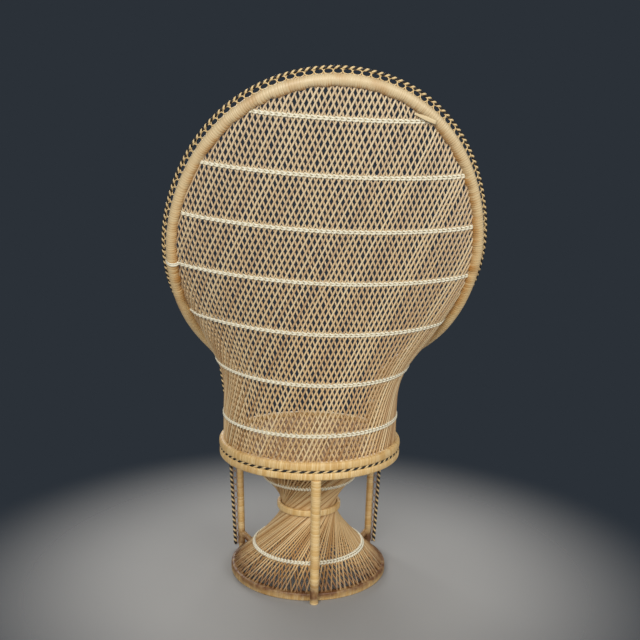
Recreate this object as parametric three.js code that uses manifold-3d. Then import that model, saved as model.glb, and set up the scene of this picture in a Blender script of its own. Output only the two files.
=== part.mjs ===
// A rattan peacock chair: an hourglass base of crossing reeds, a round seat between two bound hoops,
// and a barrel that opens upwards into a wide fan of crossing reeds.
// Millimetres, +Z up. The chair faces -Y; its back is on the +Y side.
import * as THREE from 'three';
import { mergeVertices } from 'three/addons/utils/BufferGeometryUtils.js';
import Module from 'manifold-3d';

const wasm = await Module();
wasm.setup();

// Fits
const FIT_GAP = 0.3; // clearance where two pieces meet
const NAIL_DEPTH = 4; // how far a reed's nailed end reaches into its pole or ring

// Base
const BASE_RING_RADIUS = 223; // to the middle of the foot ring
const BASE_RING_WIDTH = 22;
const BASE_RING_HEIGHT = 23;
const RING_EDGE = 5; // bevel on the edges of the flat-bound rings
const WAIST_HEIGHT = 203;
const WAIST_RADIUS = 74; // to the middle of the two reed layers
const WAIST_HOOP_THICK = 17;
const TOP_RING_WIDTH = 18;
const TOP_RING_HEIGHT = 14;
const BASE_REED_COUNT = 48; // in each layer
const BASE_REED_RADIUS = 2.3;
const BASE_LAYER_GAP = 1.1; // from the middle of the wall to the skin of each layer at the waist
const BASE_BAND_LOW = 80; // height of the lower cream band
const BASE_BAND_DROP = 58; // from the top ring down to the upper one
const BASE_BAND_TALL = 12;

// Posts
const POST_RADIUS = 12;
const FRONT_POST_TURN = 125; // degrees round from the rear post
const POST_EDGING_TURN = 40; // degrees from straight outwards towards the back
const POST_ROPE_FOOT = 9; // from the post's skin to the rope's middle at the rope's lower end
const POST_ROPE_END = 40; // height of that end
const POST_LOOP_PITCH = 28;

// Seat
const HOOP_RADIUS = 257; // to the middle of both seat hoops
const LOWER_HOOP_HEIGHT = 377;
const LOWER_HOOP_THICK = 22;
const UPPER_HOOP_THICK = 24;
const HOOP_SPACING = 5; // between the two hoops, bridged by the cord
const SEAT_CORD_THICK = 9;
const RAIL_COUNT = 3;
const RAIL_SPACING = 120;
const RAIL_THICK = 18;
const WALE_PITCH = 38; // between the twined rounds that lock the seat's weave
const WALE_WIDTH = 9;
const WALE_RISE = 2.4; // above the weave between them

// Shell: heights are measured along the back from the top of the upper hoop, widths along the curve
const SHELL_INSET = 5; // the barrel stands this far inside the middle of the hoop
const FAN_RADIUS = 890;
const FLARE_START = 105; // the barrel opens into the fan between these two heights
const FLARE_END = 700;
const LEAN_BACK = 15.7; // degrees, reached at the height below
const LEAN_END = 690;
const LEAN_SIDE = 2.2; // degrees that the handmade shell has settled to one side
const LEAN_SIDE_END = 320;
const ARM_TOP = 368; // where the arms' falling edges leave the fan
const FAN_REACH = 431; // from the middle of the back round to the rim at its widest
const FAN_WIDEST = 490;
const FAN_HEIGHT = 1015;
const RIM_RADIUS = 15;
const BAND_COUNT = 7;
const FIRST_BAND = 71;
const TOP_BAND_DROP = 92; // from the top of the rim down to the highest band
const BAND_TALL = 10;
const BAND_THICK = 2.4;
const BAND_CLEARANCE = 0.35; // from a reed's crest to a band's strand
const LATTICE_PITCH = 32; // between two reeds of a layer, along a band
const LATTICE_ROWS = 4; // crossings from one band to the next
const REED_WIDTH = 4.6;
const REED_THICK = 4;
const LAYER_GAP = 2; // between the two reed layers
const OPENING_HASTE = 1.4; // how much faster than evenly the barrel opens from one station to the next
const SHORTEST_REED = 60;
const RIM_JOINTS = [0.12, 0.28, 0.5, 0.72, 0.88]; // where the rim's lengths are spliced

// Edging
const EDGING_TILT = 20; // degrees that the edging leans to the front of the fan's rim
const ARM_EDGING_TILT = -115; // on the arms it stands on the outer side, over the posts' edging
const EDGING_TURN_START = 100; // it turns from one to the other between these two heights
const EDGING_TURN_END = 300;
const ROPE_RADIUS = 4;
const ROPE_STANDOFF = 18; // from the skin of the rim, or of a post's top, to the rope's middle
const LOOP_PITCH = 28;
const LOOP_CANE = 3;
const LOOP_SEAT = 0.6; // room between a loop's foot and the rim, some of it used up where the rim bends
const LOOP_SLACK = 1.5; // room between a loop's crest and the rope, used up where the rim bends in

// Finishes
const PEEL = { color: '#d9bc82', roughness: 0.5, metalness: 0 };
const REED = { color: '#c9ab80', roughness: 0.6, metalness: 0 };
const CREAM = { color: '#e5ddc0', roughness: 0.65, metalness: 0 };
const TWIST = { color: '#6e5a3f', roughness: 0.6, metalness: 0 };
const WEAVE = { color: '#cdb488', roughness: 0.65, metalness: 0 };

// Facets and search steps
const RING_STEPS = 28;
const BAND_TURN = 10; // degrees between two corners of a band
const BAND_STEPS = 8; // at the least
const HOOP_SIDES = 8;
const POST_SIDES = 12;
const CORD_SIDES = 6;
const CANE_SIDES = 3;
const WELD = 1e-4; // points closer than this are one
const PROFILE_STEP = 10; // along the back's middle line
const END_STEP = 2; // in looking for the ends of reeds and bands
const RIM_SAMPLES = 240; // on each half of the rim
const RIM_PACE = 1 / 60; // share of the rim between two of its sections
const RIM_SEARCH = 1 / 1000; // share of the rim in looking for a place on it
const SPLICE_MARGIN = 1 / 500; // share of the rim between a splice and a nailed end
const SPLICE_RANGE = 1 / 10; // share of the rim in which a splice may move

// Worked out from the sizes above
const CANE_FLAT = (LOOP_CANE / 2) * Math.cos(Math.PI / CANE_SIDES); // to the side that faces the pole
const BASE_LAYER_OFFSET = BASE_LAYER_GAP + BASE_REED_RADIUS;
const UPPER_HOOP_HEIGHT = LOWER_HOOP_HEIGHT + (LOWER_HOOP_THICK + UPPER_HOOP_THICK) / 2 + HOOP_SPACING;
const BARREL_RADIUS = HOOP_RADIUS - SHELL_INSET;
const ARM_REACH = (BARREL_RADIUS * FRONT_POST_TURN * Math.PI) / 180; // the arms end over the front posts
const SHELL_FOOT = UPPER_HOOP_HEIGHT + UPPER_HOOP_THICK / 2 + FIT_GAP;
const BAND_STEP = (FAN_HEIGHT - TOP_BAND_DROP - FIRST_BAND) / (BAND_COUNT - 1);
const REED_SLOPE = (LATTICE_PITCH * LATTICE_ROWS) / (2 * BAND_STEP);
const RAIL_UNDERSIDE = LOWER_HOOP_HEIGHT - RAIL_THICK / 2;
const TOP_RING_FLOOR = RAIL_UNDERSIDE - FIT_GAP - TOP_RING_HEIGHT;
const POST_TOP = LOWER_HOOP_HEIGHT - LOWER_HOOP_THICK / 2 - FIT_GAP;
const POST_FOOT_RADIUS = BASE_RING_RADIUS + BASE_RING_WIDTH / 2 + FIT_GAP + POST_RADIUS;

const { degToRad, radToDeg, smoothstep, smootherstep, lerp, clamp } = THREE.MathUtils;
const chair = new THREE.Group();

function vector(x, y, z) {
  return new THREE.Vector3(x, y, z);
}

// A point at a radius, a turn in degrees from the back towards +X, and a height
function around(radius, turn, height) {
  const angle = degToRad(turn);
  return vector(radius * Math.sin(angle), radius * Math.cos(angle), height);
}

// Joins copies of a section along a path into one closed solid
function sweep(path, section) {
  const corners = section.length;
  const positions = path.flatMap(({ point, side, normal }) =>
    section.flatMap(([x, y]) =>
      point.clone().addScaledVector(side, x).addScaledVector(normal, y).toArray()));
  const index = [];
  for (let step = 0; step < path.length - 1; step++) {
    for (let corner = 0; corner < corners; corner++) {
      const here = step * corners + corner;
      const next = step * corners + (corner + 1) % corners;
      index.push(here, next, next + corners, here, next + corners, here + corners);
    }
  }
  const last = (path.length - 1) * corners;
  for (let corner = 1; corner < corners - 1; corner++) {
    index.push(0, corner + 1, corner, last, last + corner, last + corner + 1);
  }
  return closedGeometry(positions, index);
}

// A geometry whose faces point outwards whichever way round its path ran
function closedGeometry(positions, index) {
  let volume = 0;
  const corner = (i) => vector().fromArray(positions, 3 * i);
  for (let i = 0; i < index.length; i += 3) {
    volume += corner(index[i]).dot(corner(index[i + 1]).cross(corner(index[i + 2])));
  }
  const geometry = new THREE.BufferGeometry();
  geometry.setAttribute('position', new THREE.Float32BufferAttribute(positions, 3));
  geometry.setIndex(volume > 0 ? index : index.toReversed());
  return geometry;
}

function polygon(radius, sides, start = 0) {
  return Array.from({ length: sides }, (_, i) => {
    const angle = start + (i * 2 * Math.PI) / sides;
    return [radius * Math.cos(angle), radius * Math.sin(angle)];
  });
}

function rectangle(width, height) {
  const [x, y] = [width / 2, height / 2];
  return [[-x, -y], [x, -y], [x, y], [-x, y]];
}

function solid(geometry) {
  const bare = geometry.clone();
  bare.deleteAttribute('normal');
  bare.deleteAttribute('uv');
  const merged = mergeVertices(bare, WELD);
  return new wasm.Manifold(new wasm.Mesh({
    numProp: 3,
    vertProperties: new Float32Array(merged.attributes.position.array),
    triVerts: new Uint32Array(merged.index.array),
  }));
}

function joined(geometries) {
  const mesh = geometries.map(solid).reduce((whole, piece) => whole.add(piece)).getMesh();
  const geometry = new THREE.BufferGeometry();
  geometry.setAttribute('position', new THREE.Float32BufferAttribute(mesh.vertProperties, 3));
  geometry.setIndex(Array.from(mesh.triVerts));
  return geometry;
}

function add(name, geometry, finish) {
  const mesh = new THREE.Mesh(geometry, new THREE.MeshStandardMaterial(finish));
  mesh.name = name;
  chair.add(mesh);
}

function hoop(radius, thick, height, sides = HOOP_SIDES) {
  return new THREE.TorusGeometry(radius, thick / 2, sides, RING_STEPS).translate(0, 0, height);
}

// A ring or a disc turned from a profile of [radius, height] points
function turned(profile) {
  const closing = profile[0][0] > 0 ? [profile[0]] : [];
  const points = [...profile, ...closing].map(([radius, height]) => new THREE.Vector2(radius, height));
  return new THREE.LatheGeometry(points, RING_STEPS, Math.PI / 2).rotateX(Math.PI / 2);
}

function flatRing(radius, width, floor, height) {
  const inner = radius - width / 2;
  const outer = radius + width / 2;
  const top = floor + height;
  return turned([
    [inner, floor], [outer, floor], [outer, top - RING_EDGE], [outer - RING_EDGE, top],
    [inner + RING_EDGE, top], [inner, top - RING_EDGE],
  ]);
}

// The hourglass: straight reeds that touch the waist and lie on a ruled surface
const WALL_SPREAD = Math.sqrt(BASE_RING_RADIUS ** 2 - WAIST_RADIUS ** 2);
const WALL_SLOPE = WALL_SPREAD / (WAIST_HEIGHT - BASE_RING_HEIGHT);

function wallRadius(height) {
  return Math.hypot(WAIST_RADIUS, WALL_SLOPE * (height - WAIST_HEIGHT));
}

// Across a sloping wall a layer's offset is wider than it is at the waist
function layerOffset(height) {
  const lean = (WALL_SLOPE ** 2 * (height - WAIST_HEIGHT)) / wallRadius(height);
  return BASE_LAYER_OFFSET * Math.hypot(1, lean);
}

// A layer's radius at the waist, and how fast its reeds run sideways as they rise
function layerLine(layer) {
  const waist = WAIST_RADIUS + layer * BASE_LAYER_OFFSET;
  const foot = BASE_RING_RADIUS + layer * layerOffset(BASE_RING_HEIGHT);
  return { waist, slope: Math.sqrt(foot ** 2 - waist ** 2) / (WAIST_HEIGHT - BASE_RING_HEIGHT) };
}

// A reed's section, with a corner pointing away from the middle of the wall
function reedSection(layer) {
  return polygon(BASE_REED_RADIUS, CANE_SIDES, layer * Math.PI / 2);
}

function baseReed(turn, layer, low, high) {
  const { waist, slope } = layerLine(layer);
  const out = around(1, turn, 0);
  const along = around(1, turn - 90, 0).multiplyScalar(layer * slope).add(vector(0, 0, 1));
  const at = (height) => around(waist, turn, WAIST_HEIGHT).addScaledVector(along, height - WAIST_HEIGHT);
  const side = along.clone().cross(out).normalize();
  const path = [low, high].map((height) => ({ point: at(height), side, normal: out }));
  return sweep(path, reedSection(layer));
}

function baseLayer(layer, low, high) {
  const step = 360 / BASE_REED_COUNT;
  return Array.from({ length: BASE_REED_COUNT }, (_, i) => baseReed(i * step, layer, low, high));
}

// How far the corners of a ring stand out beyond the middles of its sides
const CORNER_RISE = 1 / Math.cos(Math.PI / RING_STEPS);

function addBase() {
  const topRadius = wallRadius(TOP_RING_FLOOR);
  const footRing = flatRing(BASE_RING_RADIUS, BASE_RING_WIDTH, 0, BASE_RING_HEIGHT);
  const topRing = flatRing(topRadius, TOP_RING_WIDTH, TOP_RING_FLOOR, TOP_RING_HEIGHT);
  const clear = FIT_GAP + BASE_REED_RADIUS;
  const innerReeds = baseLayer(-1, BASE_RING_HEIGHT - NAIL_DEPTH, TOP_RING_FLOOR - clear);
  const outerReeds = baseLayer(1, BASE_RING_HEIGHT + clear, TOP_RING_FLOOR + NAIL_DEPTH);
  add('foot_ring_with_inner_reeds', joined([footRing, ...innerReeds]), REED);
  add('top_ring_with_outer_reeds', joined([topRing, ...outerReeds]), REED);

  const outside = WAIST_RADIUS + BASE_LAYER_OFFSET + BASE_REED_RADIUS + FIT_GAP;
  const hoopRadius = outside * CORNER_RISE + WAIST_HOOP_THICK / 2;
  add('waist_hoop', hoop(hoopRadius, WAIST_HOOP_THICK, WAIST_HEIGHT), PEEL);
  add('base_band_lower', baseBand(BASE_BAND_LOW), CREAM);
  add('base_band_upper', baseBand(TOP_RING_FLOOR - BASE_BAND_DROP), CREAM);
}

// A sloping strip that lies on the outer reeds
function baseBand(middle) {
  const { waist, slope } = layerLine(1);
  const skin = (height) => {
    const run = slope * (height - WAIST_HEIGHT);
    const crests = reedSection(1).map(([x, y]) => Math.hypot(waist + y, run + x * Math.hypot(1, slope)));
    return (Math.max(...crests) + FIT_GAP * layerOffset(height) / BASE_LAYER_OFFSET) * CORNER_RISE;
  };
  const low = middle - BASE_BAND_TALL / 2;
  const high = middle + BASE_BAND_TALL / 2;
  const thick = BAND_THICK * layerOffset(middle) / BASE_LAYER_OFFSET;
  return turned([
    [skin(low), low], [skin(low) + thick, low], [skin(high) + thick, high], [skin(high), high],
  ]);
}

// Seat frame
function addSeat() {
  add('lower_seat_hoop', hoop(HOOP_RADIUS, LOWER_HOOP_THICK, LOWER_HOOP_HEIGHT), PEEL);
  add('upper_seat_hoop', hoop(HOOP_RADIUS, UPPER_HOOP_THICK, UPPER_HOOP_HEIGHT), PEEL);

  // The cord rests in the groove, against both hoops
  const reachUp = (UPPER_HOOP_THICK + SEAT_CORD_THICK) / 2 + FIT_GAP;
  const reachDown = (LOWER_HOOP_THICK + SEAT_CORD_THICK) / 2 + FIT_GAP;
  const apart = UPPER_HOOP_HEIGHT - LOWER_HOOP_HEIGHT;
  const rise = (apart ** 2 + reachDown ** 2 - reachUp ** 2) / (2 * apart);
  const out = Math.sqrt(reachDown ** 2 - rise ** 2);
  const cord = hoop(HOOP_RADIUS + out, SEAT_CORD_THICK, LOWER_HOOP_HEIGHT + rise, CORD_SIDES);
  add('seat_cord', cord, TWIST);

  const inside = (HOOP_RADIUS - LOWER_HOOP_THICK / 2 - FIT_GAP) / CORNER_RISE;
  for (let i = 0; i < RAIL_COUNT; i++) {
    const across = (i - (RAIL_COUNT - 1) / 2) * RAIL_SPACING;
    const half = Math.sqrt(inside ** 2 - (Math.abs(across) + RAIL_THICK / 2) ** 2);
    const ends = [-half, half].map((y) => ({
      point: vector(across, y, LOWER_HOOP_HEIGHT), side: vector(1, 0, 0), normal: vector(0, 0, 1),
    }));
    add(`seat_rail_${i + 1}`, sweep(ends, polygon(RAIL_THICK / 2, HOOP_SIDES)), REED);
  }

  // The seat lies on the rails and meets the upper hoop at its middle. Twined rounds stand up from it.
  const floor = LOWER_HOOP_HEIGHT + RAIL_THICK / 2 + FIT_GAP;
  const reach = HOOP_RADIUS - UPPER_HOOP_THICK / 2 - FIT_GAP;
  const profile = [[0, floor], [reach, floor], [reach, UPPER_HOOP_HEIGHT]];
  for (let wale = Math.floor((reach - WALE_WIDTH) / WALE_PITCH); wale > 0; wale--) {
    for (const [out, rise] of [[WALE_WIDTH / 2, 0], [0, WALE_RISE], [-WALE_WIDTH / 2, 0]]) {
      profile.push([wale * WALE_PITCH + out, UPPER_HOOP_HEIGHT + rise]);
    }
  }
  add('woven_seat', turned([...profile, [0, UPPER_HOOP_HEIGHT]]), WEAVE);
}

// A post's middle line leans in from the seat hoop to the outside of the foot ring
function postAt(turn, height) {
  return around(lerp(POST_FOOT_RADIUS, HOOP_RADIUS, height / POST_TOP), turn, height);
}

function addPost(name, turn) {
  const side = around(1, turn + 90, 0);
  const normal = around(1, turn, 0);
  const path = [0, POST_TOP].map((height) => ({ point: postAt(turn, height), side, normal }));
  add(name, sweep(path, polygon(POST_RADIUS, POST_SIDES)), PEEL);
}

function addPosts() {
  addPost('rear_post', 0);
  addPost('front_post_left', FRONT_POST_TURN);
  addPost('front_post_right', -FRONT_POST_TURN);
  addPostEdging('left', FRONT_POST_TURN, -1);
  addPostEdging('right', -FRONT_POST_TURN, 1);
}

// A rope beside a front post, held by a cane that runs to and fro between the two
function addPostEdging(name, turn, backwards) {
  const outward = around(1, turn + backwards * POST_EDGING_TURN, 0);
  const across = around(1, turn + backwards * POST_EDGING_TURN + 90, 0);
  const frame = { side: outward, normal: across };
  const standoff = (height) => {
    const share = (height - POST_ROPE_END) / (POST_TOP - POST_ROPE_END);
    return POST_RADIUS + lerp(POST_ROPE_FOOT, ROPE_STANDOFF, share);
  };
  const at = (height, out) => ({ point: postAt(turn, height).addScaledVector(outward, out), ...frame });

  const rope = [POST_ROPE_END, POST_TOP].map((height) => at(height, standoff(height)));
  add(`post_rope_${name}`, sweep(rope, polygon(ROPE_RADIUS, CORD_SIDES)), TWIST);

  const bends = 2 * Math.round((POST_TOP - POST_ROPE_END) / POST_LOOP_PITCH);
  const path = [];
  for (let i = 0; i <= bends; i++) {
    const height = lerp(POST_ROPE_END + LOOP_CANE, POST_TOP - LOOP_CANE, i / bends);
    const inner = POST_RADIUS + FIT_GAP + CANE_FLAT;
    const outer = standoff(height) - ROPE_RADIUS - FIT_GAP - LOOP_CANE / 2;
    path.push(at(height, i % 2 ? Math.max(outer, inner) : inner));
  }
  add(`post_loops_${name}`, sweep(path, polygon(LOOP_CANE / 2, CANE_SIDES)), REED);
}

// The shell's surface. The back's middle line rises from the hoop and leans back more and more.
const leanAt = (along) => degToRad(LEAN_BACK) * smoothstep(along, 0, LEAN_END);
const backLine = [vector(0, BARREL_RADIUS, SHELL_FOOT)];
while (backLine.length * PROFILE_STEP < FAN_HEIGHT + 2 * BAND_STEP) {
  const lean = leanAt((backLine.length - 0.5) * PROFILE_STEP);
  backLine.push(backLine.at(-1).clone().add(
    vector(0, Math.sin(lean), Math.cos(lean)).multiplyScalar(PROFILE_STEP)));
}

function backAt(along) {
  const place = along / PROFILE_STEP;
  const low = clamp(Math.floor(place), 0, backLine.length - 2);
  return backLine[low].clone().lerp(backLine[low + 1], place - low);
}

function curveRadius(along) {
  return lerp(BARREL_RADIUS, FAN_RADIUS, smootherstep(along, FLARE_START, FLARE_END));
}

function outwards(across, along) {
  const angle = across / curveRadius(along);
  const lean = leanAt(along);
  return vector(Math.sin(angle), Math.cos(angle) * Math.cos(lean), -Math.cos(angle) * Math.sin(lean));
}

// A point of the shell: how far round from the middle of the back, how far up, how far out
function shellAt(across, along, out = 0) {
  const radius = curveRadius(along);
  const lean = leanAt(along);
  const axis = backAt(along).add(vector(0, -Math.cos(lean), Math.sin(lean)).multiplyScalar(radius));
  const point = axis.addScaledVector(outwards(across, along), radius + out);
  const settle = Math.tan(degToRad(LEAN_SIDE) * smoothstep(along, 0, LEAN_SIDE_END));
  return vector(point.x - (point.z - SHELL_FOOT) * settle, point.y, point.z + point.x * settle);
}

// The rim rises along the arm's front edge, falls back to the fan and closes in an arch
function rimReach(along) {
  if (along > FAN_WIDEST) {
    const share = (along - FAN_WIDEST) / (FAN_HEIGHT - FAN_WIDEST);
    return FAN_REACH * Math.sqrt(Math.max(0, 1 - share ** 2));
  }
  return lerp(ARM_REACH, FAN_REACH, smoothstep(along, 0, ARM_TOP));
}

function edgingTilt(along) {
  const share = smoothstep(along, EDGING_TURN_START, EDGING_TURN_END);
  return degToRad(lerp(ARM_EDGING_TILT, EDGING_TILT, share));
}

const rim = rimStations();

function rimStations() {
  const half = [];
  const straight = FAN_WIDEST / (FAN_WIDEST + (Math.PI / 2) * FAN_REACH);
  for (let i = 0; i <= RIM_SAMPLES; i++) {
    const share = i / RIM_SAMPLES;
    if (share < straight) {
      const along = (share / straight) * FAN_WIDEST;
      half.push([rimReach(along), along]);
    } else {
      const angle = ((share - straight) / (1 - straight)) * Math.PI / 2;
      half.push([FAN_REACH * Math.cos(angle), FAN_WIDEST + (FAN_HEIGHT - FAN_WIDEST) * Math.sin(angle)]);
    }
  }
  const mirrored = half.slice(0, -1).reverse().map(([across, along]) => [-across, along]);
  const places = [...half, ...mirrored];
  const points = places.map(([across, along]) => shellAt(across, along));
  return places.map(([across, along], i) => {
    const before = points[Math.max(i - 1, 0)];
    const after = points[Math.min(i + 1, points.length - 1)];
    const tangent = after.clone().sub(before).normalize();
    const skin = outwards(across, along);
    const edge = skin.clone().cross(tangent).normalize();
    const fromMiddle = points[i].clone().sub(shellAt(0, Math.min(along, FAN_WIDEST)));
    if (edge.dot(fromMiddle) < 0) edge.negate();
    const tilt = edgingTilt(along);
    const side = edge.multiplyScalar(Math.cos(tilt)).addScaledVector(skin, -Math.sin(tilt)).normalize();
    return { point: points[i], side, normal: tangent.clone().cross(side).normalize() };
  });
}

const RIM_LAST = rim.length - 1;
const RIM_LENGTH = rim.slice(1).reduce((sum, { point }, i) => sum + point.distanceTo(rim[i].point), 0);

// The rim's frame at a share of its way, moved outwards along the edging
function rimAt(share, out = 0) {
  const place = clamp(share, 0, 1) * RIM_LAST;
  const low = Math.min(Math.floor(place), RIM_LAST - 1);
  const mix = (key) => rim[low][key].clone().lerp(rim[low + 1][key], place - low);
  const side = mix('side').normalize();
  return { point: mix('point').addScaledVector(side, out), side, normal: mix('normal').normalize() };
}

function nearestRim(point) {
  let best = 0;
  let shortest = Infinity;
  rim.forEach((station, i) => {
    const distance = station.point.distanceToSquared(point);
    if (distance < shortest) {
      shortest = distance;
      best = i;
    }
  });
  return { distance: Math.sqrt(shortest), share: best / RIM_LAST };
}

// Reeds run straight from station to station. There are more stations where the barrel opens, so that
// the two layers, which cut that corner by different amounts, keep their distance.
const stations = reedStations();

function reedStations() {
  const bands = Array.from({ length: BAND_COUNT + 1 }, (_, i) => FIRST_BAND + i * BAND_STEP);
  return [0, ...bands.flatMap((high, i) => {
    const low = i ? bands[i - 1] : 0;
    const [wide, narrow] = [low, high].map(curveRadius);
    const rise = REED_SLOPE * (high - low) * (wide + narrow) * rimReach(low);
    const parting = (rise / 8) * Math.abs(1 / wide ** 2 - 1 / narrow ** 2);
    const steps = Math.max(1, Math.ceil(Math.sqrt((OPENING_HASTE * parting) / LAYER_GAP)));
    return Array.from({ length: steps }, (__, step) => lerp(low, high, (step + 1) / steps));
  })];
}

const stationAbove = (along) => stations.find((station) => station > along + WELD) ?? stations.at(-1);
const stationBelow = (along) => stations.findLast((station) => station <= along + WELD);

function reedAt(layer, index, along) {
  const across = (height) => LATTICE_PITCH * (index + 0.5) - layer * REED_SLOPE * (height - FIRST_BAND);
  const low = stationBelow(along);
  const high = stationAbove(along);
  const share = (along - low) / (high - low);
  const place = lerp(across(low), across(high), share);
  const point = shellAt(across(low), low).lerp(shellAt(across(high), high), share);
  return { point, normal: outwards(place, along), inside: Math.abs(place) < rimReach(along) };
}

// Finds where a reed meets the hoop or the rim below, and the rim that carries it above
function reedSpan(layer, index) {
  const clear = RIM_RADIUS + REED_WIDTH / 2 + FIT_GAP;
  let low = null;
  let high = null;
  const foot = (REED_WIDTH * REED_SLOPE) / 2 + FIT_GAP;
  for (let along = foot; along < FAN_HEIGHT; along += END_STEP) {
    const { point, inside } = reedAt(layer, index, along);
    if (inside && nearestRim(point).distance > clear) {
      low ??= along;
      high = along;
    }
  }
  if (low === null || high - low < SHORTEST_REED) return null;
  const rimFrom = (along) => nearestRim(reedAt(layer, index, along).point);
  const free = rimFrom(high).share;
  while (rimFrom(high).distance > RIM_RADIUS - NAIL_DEPTH) high += END_STEP;
  const end = rimFrom(high).share;
  return { low, high, zone: [Math.min(free, end), Math.max(free, end)], end };
}

function reedSolid(layer, index, { low, high }) {
  const stops = [low];
  for (let along = stationAbove(low); along < high; along = stationAbove(along)) stops.push(along);
  stops.push(high);
  const points = stops.map((along) => reedAt(layer, index, along));
  const path = points.map(({ point, normal }, i) => {
    const before = points[Math.max(i - 1, 0)].point;
    const after = points[Math.min(i + 1, points.length - 1)].point;
    const side = after.clone().sub(before).cross(normal).normalize();
    return { point, side, normal };
  });
  const base = layer * LAYER_GAP / 2;
  const tip = layer * (LAYER_GAP / 2 + REED_THICK);
  return sweep(path, [[-REED_WIDTH / 2, base], [REED_WIDTH / 2, base], [0, tip]]);
}

const RIM_NAMES = ['arm_left', 'flank_left', 'arch_left', 'arch_right', 'flank_right', 'arm_right'];

// A splice stands clear of every reed's nailed end
function splicePlace(wanted, reeds) {
  const taken = (share) => reeds.some(({ zone: [from, to] }) =>
    share > from - SPLICE_MARGIN && share < to + SPLICE_MARGIN);
  for (let shift = 0; shift < SPLICE_RANGE; shift += RIM_SEARCH) {
    if (!taken(wanted + shift)) return wanted + shift;
    if (!taken(wanted - shift)) return wanted - shift;
  }
  return wanted;
}

function stretchOfRim(from, to, out, section) {
  const steps = Math.max(2, Math.ceil((to - from) / RIM_PACE));
  const path = Array.from({ length: steps + 1 }, (_, i) => rimAt(lerp(from, to, i / steps), out));
  return sweep(path, section);
}

function addShell() {
  const reeds = [];
  const most = Math.ceil((FAN_REACH + REED_SLOPE * FAN_HEIGHT) / LATTICE_PITCH);
  for (const layer of [1, -1]) {
    for (let index = -most; index < most; index++) {
      const span = reedSpan(layer, index);
      if (span) reeds.push({ ...span, geometry: reedSolid(layer, index, span) });
    }
  }
  const splices = [0, ...RIM_JOINTS.map((wanted) => splicePlace(wanted, reeds)), 1];
  const half = FIT_GAP / 2 / RIM_LENGTH;
  RIM_NAMES.forEach((name, i) => {
    const from = splices[i] + (i ? half : 0);
    const to = splices[i + 1] - (i < RIM_NAMES.length - 1 ? half : 0);
    const pole = stretchOfRim(from, to, 0, polygon(RIM_RADIUS, HOOP_SIDES));
    const nailed = reeds.filter(({ end }) => end > splices[i] && end <= splices[i + 1]);
    add(`rim_${name}`, joined([pole, ...nailed.map(({ geometry }) => geometry)]), REED);
  });
  for (let band = 0; band < BAND_COUNT; band++) {
    addBand(band + 1, FIRST_BAND + band * BAND_STEP);
  }
}

// The two strands of a band, one against each face of the lattice
function addBand(number, along) {
  const clear = RIM_RADIUS + BAND_TALL / 2 + FIT_GAP;
  let reach = rimReach(along);
  const ends = () => [shellAt(reach, along), shellAt(-reach, along)];
  while (ends().some((end) => nearestRim(end).distance < clear)) reach -= END_STEP;
  const whole = (2 * reach) / curveRadius(along);
  const steps = Math.max(BAND_STEPS, Math.ceil(radToDeg(whole) / BAND_TURN));
  const chord = curveRadius(along) * (1 / Math.cos(whole / steps / 2) - 1);
  const wall = LAYER_GAP / 2 + REED_THICK + BAND_CLEARANCE + BAND_THICK / 2;
  const strand = (face, out) => sweep(Array.from({ length: steps + 1 }, (_, i) => {
    const across = lerp(-reach, reach, i / steps);
    const up = shellAt(across, along + 1).sub(shellAt(across, along - 1)).normalize();
    const point = shellAt(across, along, face * (out + cornerRise(across, along, face)));
    return { point, side: up, normal: outwards(across, along) };
  }), rectangle(BAND_TALL, BAND_THICK));
  add(`shell_band_${number}_outer`, strand(1, wall + chord), CREAM);
  add(`shell_band_${number}_inner`, strand(-1, wall), CREAM);
}

// Reeds turn a corner under a band where the barrel opens: how far they rise there at the band's edges
function cornerRise(across, along, face) {
  const here = shellAt(across, along);
  const normal = outwards(across, along);
  const rises = [stationBelow(along - END_STEP), stationAbove(along)].map((station) =>
    face * shellAt(across, station).sub(here).normalize().dot(normal));
  return Math.max(0, ...rises) * BAND_TALL / 2;
}

function addEdging() {
  const ropeOut = RIM_RADIUS + ROPE_STANDOFF;
  const first = rimShareAbove(ropeOut);
  const last = 1 - first;
  add('rim_rope', stretchOfRim(first, last, ropeOut, polygon(ROPE_RADIUS, CORD_SIDES)), TWIST);

  const inner = RIM_RADIUS + LOOP_SEAT + CANE_FLAT;
  const outer = ropeOut - ROPE_RADIUS - LOOP_SLACK - LOOP_CANE / 2;
  const bends = 2 * Math.round(RIM_LENGTH / LOOP_PITCH);
  const path = Array.from({ length: bends + 1 }, (_, i) =>
    rimAt(lerp(first, last, i / bends), i % 2 ? outer : inner));
  add('rim_loops', sweep(path, polygon(LOOP_CANE / 2, CANE_SIDES)), REED);
}

// The share of the rim at which the edging stands clear of the seat hoop
function rimShareAbove(out) {
  let share = 0;
  while (rimAt(share, out).point.z < SHELL_FOOT + ROPE_RADIUS) share += RIM_SEARCH;
  return share;
}

addBase();
addSeat();
addPosts();
addShell();
addEdging();

// The origin is under the middle of the chair's outline, on the floor
const outline = new THREE.Box3().setFromObject(chair);
const middle = outline.getCenter(vector());
chair.position.set(-middle.x, -middle.y, -outline.min.z);

export default chair;
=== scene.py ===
"""A peacock chair of bound poles, crossing reeds and twined cane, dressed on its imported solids."""
import math

import bpy
import numpy as np
from bpy.props import FloatProperty, FloatVectorProperty, IntProperty, PointerProperty
from bpy.types import Operator, Panel, PropertyGroup
from mathutils import Matrix, Vector


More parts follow.
